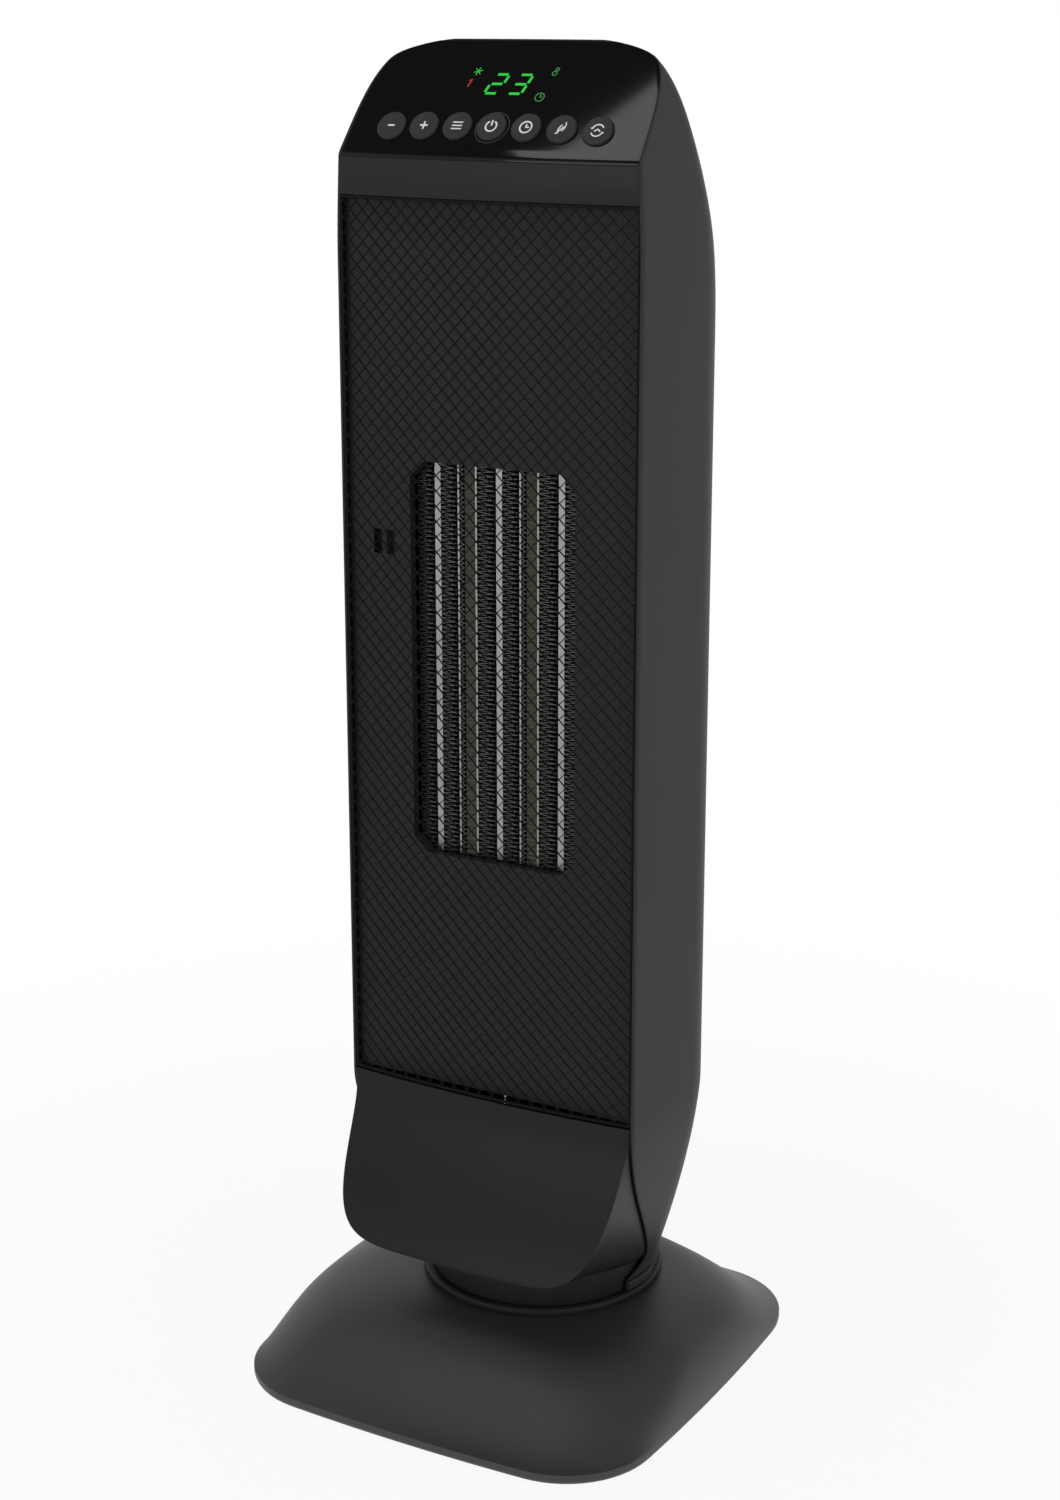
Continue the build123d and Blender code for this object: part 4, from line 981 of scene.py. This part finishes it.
def inWindow(point):
    # inside the window's outline, which has chamfered corners
    fromSide = baffle["windowHalf"] - abs(point.x)
    fromEnd = min(point.z - baffle["windowLow"], baffle["windowHigh"] - point.z)
    return fromSide > 0 and fromEnd > 0 and fromSide + fromEnd > baffle["chamfer"]


def frontBaffle():
    low, high = grille["low"] + grille["frameThickness"] / 8, grille["high"]
    half, chamfer = baffle["windowHalf"], baffle["chamfer"]

    def place(across, up):
        return Vector(((2 * across - 1) * baffle["half"], baffle["front"], low + (high - low) * up))

    bm = gridShape(1, 1, place)
    slots = [baffle["slotMiddle"] + side * baffle["slotPitch"] / 2 for side in (-1, 1)]
    edges = [x + side * baffle["slotWidth"] / 2 for x in slots for side in (-1, 1)]
    cutLines(bm, 0, edges + [-half, chamfer - half, half - chamfer, half])
    bottom, top = baffle["windowLow"], baffle["windowHigh"]
    cutLines(bm, 2, (bottom, bottom + chamfer, top - chamfer, top, baffle["slotLow"], baffle["slotHigh"]))
    corners = []
    for face in bm.faces:
        middle = face.calc_center_median()
        beside = half - chamfer < abs(middle.x) < half
        if beside and (bottom < middle.z < bottom + chamfer or top - chamfer < middle.z < top):
            corners.append(face)
    for face in corners:
        # the diagonal that runs along the chamfer
        reach = [abs(abs(vert.co.x) - half) + min(abs(vert.co.z - bottom), abs(vert.co.z - top))
                 for vert in face.verts]
        onChamfer = [vert for vert, away in zip(face.verts, reach) if abs(away - chamfer) < chamfer / 10]
        bmesh.utils.face_split(face, onChamfer[0], onChamfer[1])

    def opened(middle):
        inSlot = any(abs(middle.x - x) < baffle["slotWidth"] / 2 for x in slots)
        return inSlot and baffle["slotLow"] < middle.z < baffle["slotHigh"] or inWindow(middle)

    openFaces(bm, opened)
    drawRim(bm, half, bottom, top, baffle["wallBack"])
    bmesh.ops.recalc_face_normals(bm, faces=bm.faces)
    flat = max(bm.faces, key=lambda face: face.calc_area())
    if flat.normal.y > 0:
        bmesh.ops.reverse_faces(bm, faces=bm.faces)
    addPiece(bm, "frontBaffle", "tower", "baffle_plastic", ["baffle_panel"], baffle["thickness"] / 2,
             smooth=False)


def upperTrim():
    bm = bowedBand((grille["trimLow"], tower["crease"] - panelBend() - grille["trimGap"]))
    addPiece(bm, "upperTrim", "tower", "trim", ["upper_trim"], grille["trimThickness"],
             grille["trimRound"])


# slanted control panel

panel = {
    "inset": 0.0009,
    "bend": 0.004,           # radius of the bend from the slope down to the trim band
    "bendShare": 0.12,       # of the panel's rows
    "topGap": 0.0012,
    "topBulge": 0.0006,
    "thickness": 0.0025,
    "edge": 0.0003,
    "buttonRow": 0.014,
    "buttonPitch": 0.0176,
    "buttonRadius": 0.00725,
    "buttonProud": 0.0015,
    "buttonDish": 0.0004,
    "dishShare": 0.86,       # of the radius
    "buttonDepth": 0.0042,
    # a button's rim: radius less, and height over its proud level
    "rim": ((0.0005075, 0.00002), (0.0002, -0.00018), (0.0, -0.0005)),
    "holeGap": 0.0003,
    "cutDepth": 0.02,
    "ringGap": 0.0011,       # from the power button to the faint ring round it
    "ringStroke": 0.00035,
    "signHeight": 0.00006,
    "names": ("minus", "plus", "mode", "power", "timer", "eco", "swing"),
}
slopeRun = tower["crest"] - tower["front"]
slopeRise = tower["top"] - tower["crease"]
slopeLength = math.hypot(slopeRun, slopeRise)
slopeTurn = math.atan2(slopeRun, slopeRise)
# columns are the panel's X, up the slope and outwards
panelFrame = Matrix(((1, 0, 0, 0),
                     (0, slopeRun / slopeLength, -slopeRise / slopeLength, tower["front"]),
                     (0, slopeRise / slopeLength, slopeRun / slopeLength, tower["crease"]),
                     (0, 0, 0, 1)))


def panelBend():
    return panel["bend"] * math.tan(slopeTurn / 2)


def panelRise(x, up):
    bulge = tower["bulge"] + (panel["topBulge"] - tower["bulge"]) * up / slopeLength
    return bulge * slopeRise / slopeLength * (1 - (x / tower["frontHalf"]) ** 2)


def panelHalf(up):
    # half width of the panel where its slope meets the inside of the dome
    z = min(tower["crease"] + up / slopeLength * slopeRise, tower["top"] - 0.0004)
    half, sideEnd, rear = towerShape(z)
    y = frontEdge(z)
    if y < sideEnd:
        return half - panel["inset"]
    return half * math.sqrt(max(1 - ((y - sideEnd) / (rear - sideEnd)) ** 2, 0.0)) - panel["inset"]


def buttonPlaces():
    middle = (len(panel["names"]) - 1) / 2
    return [(name, (index - middle) * panel["buttonPitch"]) for index, name in enumerate(panel["names"])]


def controlPanel():
    length = slopeLength - panel["topGap"]
    tangent, share = panelBend(), panel["bendShare"]

    def place(across, up):
        if up < share:
            # the bend: an arc that leaves the upright front and meets the slope
            turn = slopeTurn * up / share
            x = (2 * across - 1) * panelHalf(0.0)
            y = bowedFront(x) + panel["bend"] * (1 - math.cos(turn))
            return Vector((x, y, tower["crease"] - tangent + panel["bend"] * math.sin(turn)))
        along = tangent + (length - tangent) * math.sin(math.pi / 2 * shareOf(up, share, 1))
        x = (2 * across - 1) * panelHalf(along)
        return panelFrame @ Vector((x, along, panelRise(x, along)))

    bm = gridShape(96, 60, place)
    outwards(bm, insideTower)
    slab = addPiece(bm, "controlPanel", "tower", "gloss_panel", ["control_panel"], panel["thickness"])
    bevelModifier(slab, panel["edge"], 2)
    holes = bmesh.new()
    radius = panel["buttonRadius"] + panel["holeGap"]
    for name, x in buttonPlaces():
        made = bmesh.ops.create_cone(holes, cap_ends=True, segments=96, radius1=radius, radius2=radius,
                                     depth=panel["cutDepth"])
        spot = panelFrame @ Matrix.Translation((x, panel["buttonRow"], 0))
        bmesh.ops.transform(holes, matrix=spot, verts=made["verts"])
    mesh = meshFrom(holes, "holes")
    cutter = addObject("holes", mesh)
    cut = slab.modifiers.new("holes", "BOOLEAN")
    cut.object = cutter
    cut.operation = "DIFFERENCE"
    cut.solver = "EXACT"
    applyModifiers(slab)
    shadeSmooth(slab, 35)
    bpy.data.objects.remove(cutter)
    bpy.data.meshes.remove(mesh)


def buttonSpot(x):
    return panelFrame @ Matrix.Translation((x, panel["buttonRow"], panelRise(x, panel["buttonRow"])))


def buttonCap(name, x):
    radius, proud = panel["buttonRadius"], panel["buttonProud"]
    profile = []
    for step in range(9):
        out = radius * panel["dishShare"] * step / 8
        profile.append((out, dishHeight(out, 0)))
    profile += [(radius - inwards, proud + rise) for inwards, rise in panel["rim"]]
    profile += [(radius, proud - panel["buttonDepth"]), (0.0, proud - panel["buttonDepth"])]
    bm = spunShape(profile, (0, 0))
    bmesh.ops.transform(bm, matrix=buttonSpot(x), verts=bm.verts)
    addPiece(bm, name + "Button", "key_" + name, "button_plastic", ["button_" + name], sharp=50)


def dishHeight(x, y):
    share = shareOf(math.hypot(x, y), 0, panel["buttonRadius"] * panel["dishShare"])
    return panel["buttonProud"] - panel["buttonDish"] * (1 - share ** 2)


def strokes(lines, width):
    # flat raised strokes along lines of points, in the plane of a button or of the panel
    bm = bmesh.new()
    for line in lines:
        points = [Vector((x, y, 0)) for x, y in line]

        def place(across, up, points=points):
            ahead = alongLine(points, min(up + 0.01, 1.0)) - alongLine(points, max(up - 0.01, 0.0))
            aside = Vector((-ahead.y, ahead.x, 0)).normalized() * width
            return alongLine(points, up) + aside * (across - 0.5)

        joinTo(bm, gridShape(2, 4 * (len(points) - 1), place))
    bmesh.ops.recalc_face_normals(bm, faces=bm.faces)
    down = [face for face in bm.faces if face.normal.z < 0]
    bmesh.ops.reverse_faces(bm, faces=down)
    return bm


def arcLine(radius, start, end, x=0.0, y=0.0, stretch=1.0):
    # start and end in degrees
    points = []
    for step in range(25):
        angle = math.radians(start + (end - start) * step / 24)
        points.append((x + radius * stretch * math.cos(angle), y + radius * math.sin(angle)))
    return points


# signs in millimetres round the middle of a button: lines, and the width of their strokes
signs = {
    "minus": ([[(-1.7, 0), (1.7, 0)]], 0.8),
    "plus": ([[(-2.0, 0), (2.0, 0)], [(0, -2.0), (0, -0.4)], [(0, 0.4), (0, 2.0)]], 0.8),
    "mode": ([[(-2.6, 1.7), (2.6, 1.7)], [(-2.6, 0), (2.6, 0)], [(-2.6, -1.7), (2.6, -1.7)]], 0.6),
    "power": ([arcLine(2.7, 120, 420), [(0, 0.3), (0, 3.1)]], 0.75),
    "timer": ([arcLine(2.9, 0, 360), [(0, -0.3), (0, 1.7)], [(0.3, 0), (1.6, 0)]], 0.7),
    "eco": ([arcLine(3.6, 125, 205, 2.2, -1.0), arcLine(3.6, -55, 25, -1.8, 1.8),
             [(-2.2, -2.8), (1.1, 1.1)]], 0.55),
    "swing": ([arcLine(2.9, 25, 155, 0, 0.1), arcLine(2.9, 205, 335, 0, -0.1),
               [(-3.4, 1.2), (-2.6, 0.9), (-2.3, 1.9)], [(3.4, -1.2), (2.6, -0.9), (2.3, -1.9)],
               [(-1.5, -0.5), (0, 0.7), (1.5, -0.5)]], 0.6),
}
signUnit = 0.001


def buttonSign(name, x):
    bm = strokes(*signs[name])
    bmesh.ops.scale(bm, vec=(signUnit,) * 3, verts=bm.verts)
    for vert in bm.verts:
        vert.co.z = dishHeight(vert.co.x, vert.co.y) + panel["signHeight"]
    bmesh.ops.transform(bm, matrix=buttonSpot(x), verts=bm.verts)
    # the printed signs glow as painted light, to look brighter
    piece = addPiece(bm, name + "Sign", "key_" + name, "glowingInk", wall=panel["signHeight"] * 2)
    slotOf("button_" + name)


# display: seven-segment digits and small signs that shine through the panel

display = {
    "digits": "23",
    "digitHeight": 0.0105,
    "digitWidth": 0.0068,
    "digitPitch": 0.0122,
    "slant": 0.26,
    "stroke": 0.0013,
    "barGap": 0.55,          # of the stroke, at each end of a bar
    "low": 0.0327,           # up the slope
    "left": -0.0113,
    "lift": 0.00005,
}
# lit bars of a digit: top, upper left, upper right, middle, lower left, lower right, bottom
litBars = {"2": (1, 0, 1, 1, 1, 0, 1), "3": (1, 0, 1, 1, 0, 1, 1)}
# small signs: piece, place on the panel, finish, stroke, and lines in millimetres round that place
spokes = [arcLine(2.2, turn, turn)[0] for turn in (75, 135, 195)]
smallSigns = (
    ("fanSign", (-0.0188, 0.0448), "green", 0.0004, [[(-x, -y), (x, y)] for x, y in spokes]),
    ("redLevel", (-0.0212, 0.0362), "red", 0.0008, [[(0, 0), (1.0, 4.2)], [(1.0, 4.2), (-0.2, 3.2)]]),
    ("smallSigns", (0.0178, 0.0312), "dimGreen", 0.0005,
     [arcLine(2.2, 0, 360), [(0, 0), (0.3, 1.4)], [(0, 0), (1.2, 0)],
      arcLine(0.8, 0, 360, 3.6, 15.3), arcLine(1.1, 0, 360, 2.8, 13.1)]),
)


def digitLines(digit, x):
    height, width, y = display["digitHeight"], display["digitWidth"], display["low"]
    # ends of the bars, in shares of the digit's width and height
    ends = ((0, 1, 1, 1), (0, 0.5, 0, 1), (1, 0.5, 1, 1), (0, 0.5, 1, 0.5), (0, 0, 0, 0.5), (1, 0, 1, 0.5),
            (0, 0, 1, 0))
    lines = []
    for lit, (left, low, right, high) in zip(litBars[digit], ends):
        if lit:
            start, end = Vector((left * width, low * height)), Vector((right * width, high * height))
            cut = (end - start).normalized() * display["stroke"] * display["barGap"]
            lines.append([(x + point.x + display["slant"] * point.y, y + point.y)
                          for point in (start + cut, end - cut)])
    return lines


def panelSign(name, lines, width, finish):
    bm = strokes(lines, width)
    for vert in bm.verts:
        vert.co.z = panelRise(vert.co.x, vert.co.y) + display["lift"]
    bmesh.ops.transform(bm, matrix=panelFrame, verts=bm.verts)
    piece = addPiece(bm, name, "tower", finish, wall=display["lift"])


def displaySigns():
    lines = []
    for index, digit in enumerate(display["digits"]):
        lines += digitLines(digit, display["left"] + index * display["digitPitch"])
    panelSign("greenDigits", lines, display["stroke"], "green")
    for name, (x, y), finish, stroke, drawn in smallSigns:
        placed = [[(x + signUnit * across, y + signUnit * up) for across, up in line] for line in drawn]
        panelSign(name, placed, stroke, finish)


def powerRing():
    x = dict(buttonPlaces())["power"]
    lines = [arcLine(panel["buttonRadius"] + panel["ringGap"], 0, 360, x, panel["buttonRow"])]
    panelSign("powerRing", lines, panel["ringStroke"], "dimInk")


# heater fins: fine zigzag strips between the bars

fins = {
    "pitch": 0.0022,
    "thickness": 0.0004,
    "barPitch": 0.0332,
    "barWidth": 0.0032,
    "plate": 0.0009,
    "inner": 0.0092,
    "narrow": 0.003,
    "stone": 0.0056,
    "ridge": 0.0004,
}


def finRows():
    # lowest and highest fold, and how many there are
    low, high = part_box("heater_bars")
    return low.z, high.z, 2 * int((high.z - low.z) / fins["pitch"])


def widePlace(unit):
    # left end of a unit; from bar to bar it has fins, plate, narrow fins, stones, plate and fins
    return (unit - 1) * fins["barPitch"] + fins["barWidth"] / 2


def narrowPlace(unit):
    return widePlace(unit) + fins["inner"] + fins["plate"]


def finStrip(start, width):
    low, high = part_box("heater_fins")
    lowZ, highZ, folds = finRows()
    margin = fins["thickness"]

    def place(across, up):
        x = start + margin if round(up * folds) % 2 == 0 else start + width - margin
        return Vector((x, low.y + (high.y - low.y) * across, lowZ + (highZ - lowZ) * up))

    bm = gridShape(1, folds, place)
    bmesh.ops.recalc_face_normals(bm, faces=bm.faces)
    return bm


def stoneFaces():
    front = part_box("ptc_stones")[0].y - fins["ridge"] / 4
    lowZ, highZ, folds = finRows()
    for unit in range(2):
        start = narrowPlace(unit) + fins["narrow"]

        def place(across, up, start=start):
            out = fins["ridge"] if round(up * folds) % 2 else 0.0
            return Vector((start + fins["stone"] * across, front - out, lowZ + (highZ - lowZ) * up))

        bm = gridShape(1, folds, place)
        outwards(bm, behindFront)
        piece = addPiece(bm, f"stoneFace{unit}", "tower", "heating_stone", wall=fins["ridge"] / 4,
                         smooth=False)


def heaterFins():
    outerBar = fins["barPitch"] + fins["barWidth"] / 2
    outerWidth = baffle["windowHalf"] - outerBar
    spans = [(-baffle["windowHalf"], outerWidth)]
    for unit in range(2):
        wide, narrow = widePlace(unit), narrowPlace(unit)
        last = narrow + fins["narrow"] + fins["stone"] + fins["plate"]
        spans += [(wide, fins["inner"]), (narrow, fins["narrow"]),
                  (last, wide + fins["barPitch"] - fins["barWidth"] - last)]
    spans.append((outerBar, outerWidth))
    for index, (start, width) in enumerate(spans):
        stands = ["heater_fins"] if index == 0 else ()
        piece = addPiece(finStrip(start, width), f"finStrip{index}", "tower", "fin_metal", stands,
                         fins["thickness"], smooth=False)


# frame's own nodes that stay in view

def dressNodes():
    for name, node in frame["nodes"].items():
        node.data.materials.clear()
        node.data.materials.append(finishes[slotOf(name)])


def addFloor():
    bm = bmesh.new()
    bmesh.ops.create_grid(bm, x_segments=1, y_segments=1, size=studioLook["floorHalf"])
    floor = addObject("floor", meshFrom(bm, "floor"))
    finish = Finish("floorPaper")
    level = studioLook["floorGrey"]
    finish.set(colour=(level, level, level), roughness=0.9, gloss=0.1)
    rays = finish.make("ShaderNodeLightPath", {}, {})
    glow = finish.make("ShaderNodeEmission", {}, {"Color": (1.0, 1.0, 1.0, 1.0), "Strength": 1.0})
    spot = finish.make("ShaderNodeVectorMath", {"operation": "LENGTH"}, {
        0: finish.out(finish.make("ShaderNodeTexCoord", {}, {}), "Object")})
    fade = finish.make("ShaderNodeMapRange", {"interpolation_type": "SMOOTHSTEP"}, {
        "Value": finish.out(spot, "Value"), "From Min": studioLook["glowStart"],
        "From Max": studioLook["glowEnd"], "To Min": studioLook["floorGlow"], "To Max": 1.0})
    kinds = "Camera", "Glossy", "Transmission"
    camera, glossy, through = (finish.out(rays, f"Is {kind} Ray") for kind in kinds)
    seen = (camera + glossy + through) * finish.out(fade)
    mix = finish.make("ShaderNodeMixShader", {}, {
        0: seen, 1: finish.out(finish.shader), 2: finish.out(glow)})
    finish.tree.links.new(mix.outputs[0], finish.tree.nodes["Material Output"].inputs[0])
    floor.data.materials.append(finish.material)


def addWorld():
    world = bpy.data.worlds.new("studio")
    world.use_nodes = True
    bpy.context.scene.world = world
    tree = world.node_tree
    sky = tree.nodes["Background"]
    sky.inputs["Color"].default_value = studioLook["skyGrey"]
    sky.inputs["Strength"].default_value = studioLook["skyStrength"]
    white = addNode(tree, "ShaderNodeBackground", {}, {"Color": (1.0, 1.0, 1.0, 1.0), "Strength": 1.0})
    rays = tree.nodes.new("ShaderNodeLightPath").outputs
    way = tree.nodes.new("ShaderNodeTexCoord").outputs["Generated"]
    parts = addNode(tree, "ShaderNodeSeparateXYZ", {}, {0: way})
    start, end = studioLook["ceiling"]
    low = addNode(tree, "ShaderNodeMapRange", {"interpolation_type": "SMOOTHSTEP"}, {
        "Value": parts.outputs["Z"], "From Min": start, "From Max": end, "To Min": 1.0, "To Max": 0.0})
    mirrored = addNode(tree, "ShaderNodeMath", {"operation": "ADD"}, {
        0: rays["Is Glossy Ray"], 1: rays["Is Transmission Ray"]})
    seen = addNode(tree, "ShaderNodeMath", {"operation": "MULTIPLY_ADD", "use_clamp": True}, {
        0: mirrored.outputs[0], 1: low.outputs[0], 2: rays["Is Camera Ray"]})
    mix = addNode(tree, "ShaderNodeMixShader", {}, {
        0: seen.outputs[0], 1: sky.outputs[0], 2: white.outputs[0]})
    tree.links.new(mix.outputs[0], tree.nodes["World Output"].inputs[0])


addCamera()
addWorld()
addFloor()
for lamp in studioLook["lamps"]:
    addLamp(*lamp)
print("studio made")
dressNodes()
print("frame dressed")
sideShell(1)
sideShell(-1)
rearCover()
intakeGrille()
print("shells made")
baseHousing()
swivelRing()
print("base made")
lowerFrontCover()
frontMesh()
frontBaffle()
upperTrim()
print("front made")
controlPanel()
for name, x in buttonPlaces():
    buttonCap(name, x)
    buttonSign(name, x)
displaySigns()
powerRing()
print("panel made")
heaterFins()
stoneFaces()
print("fins made")
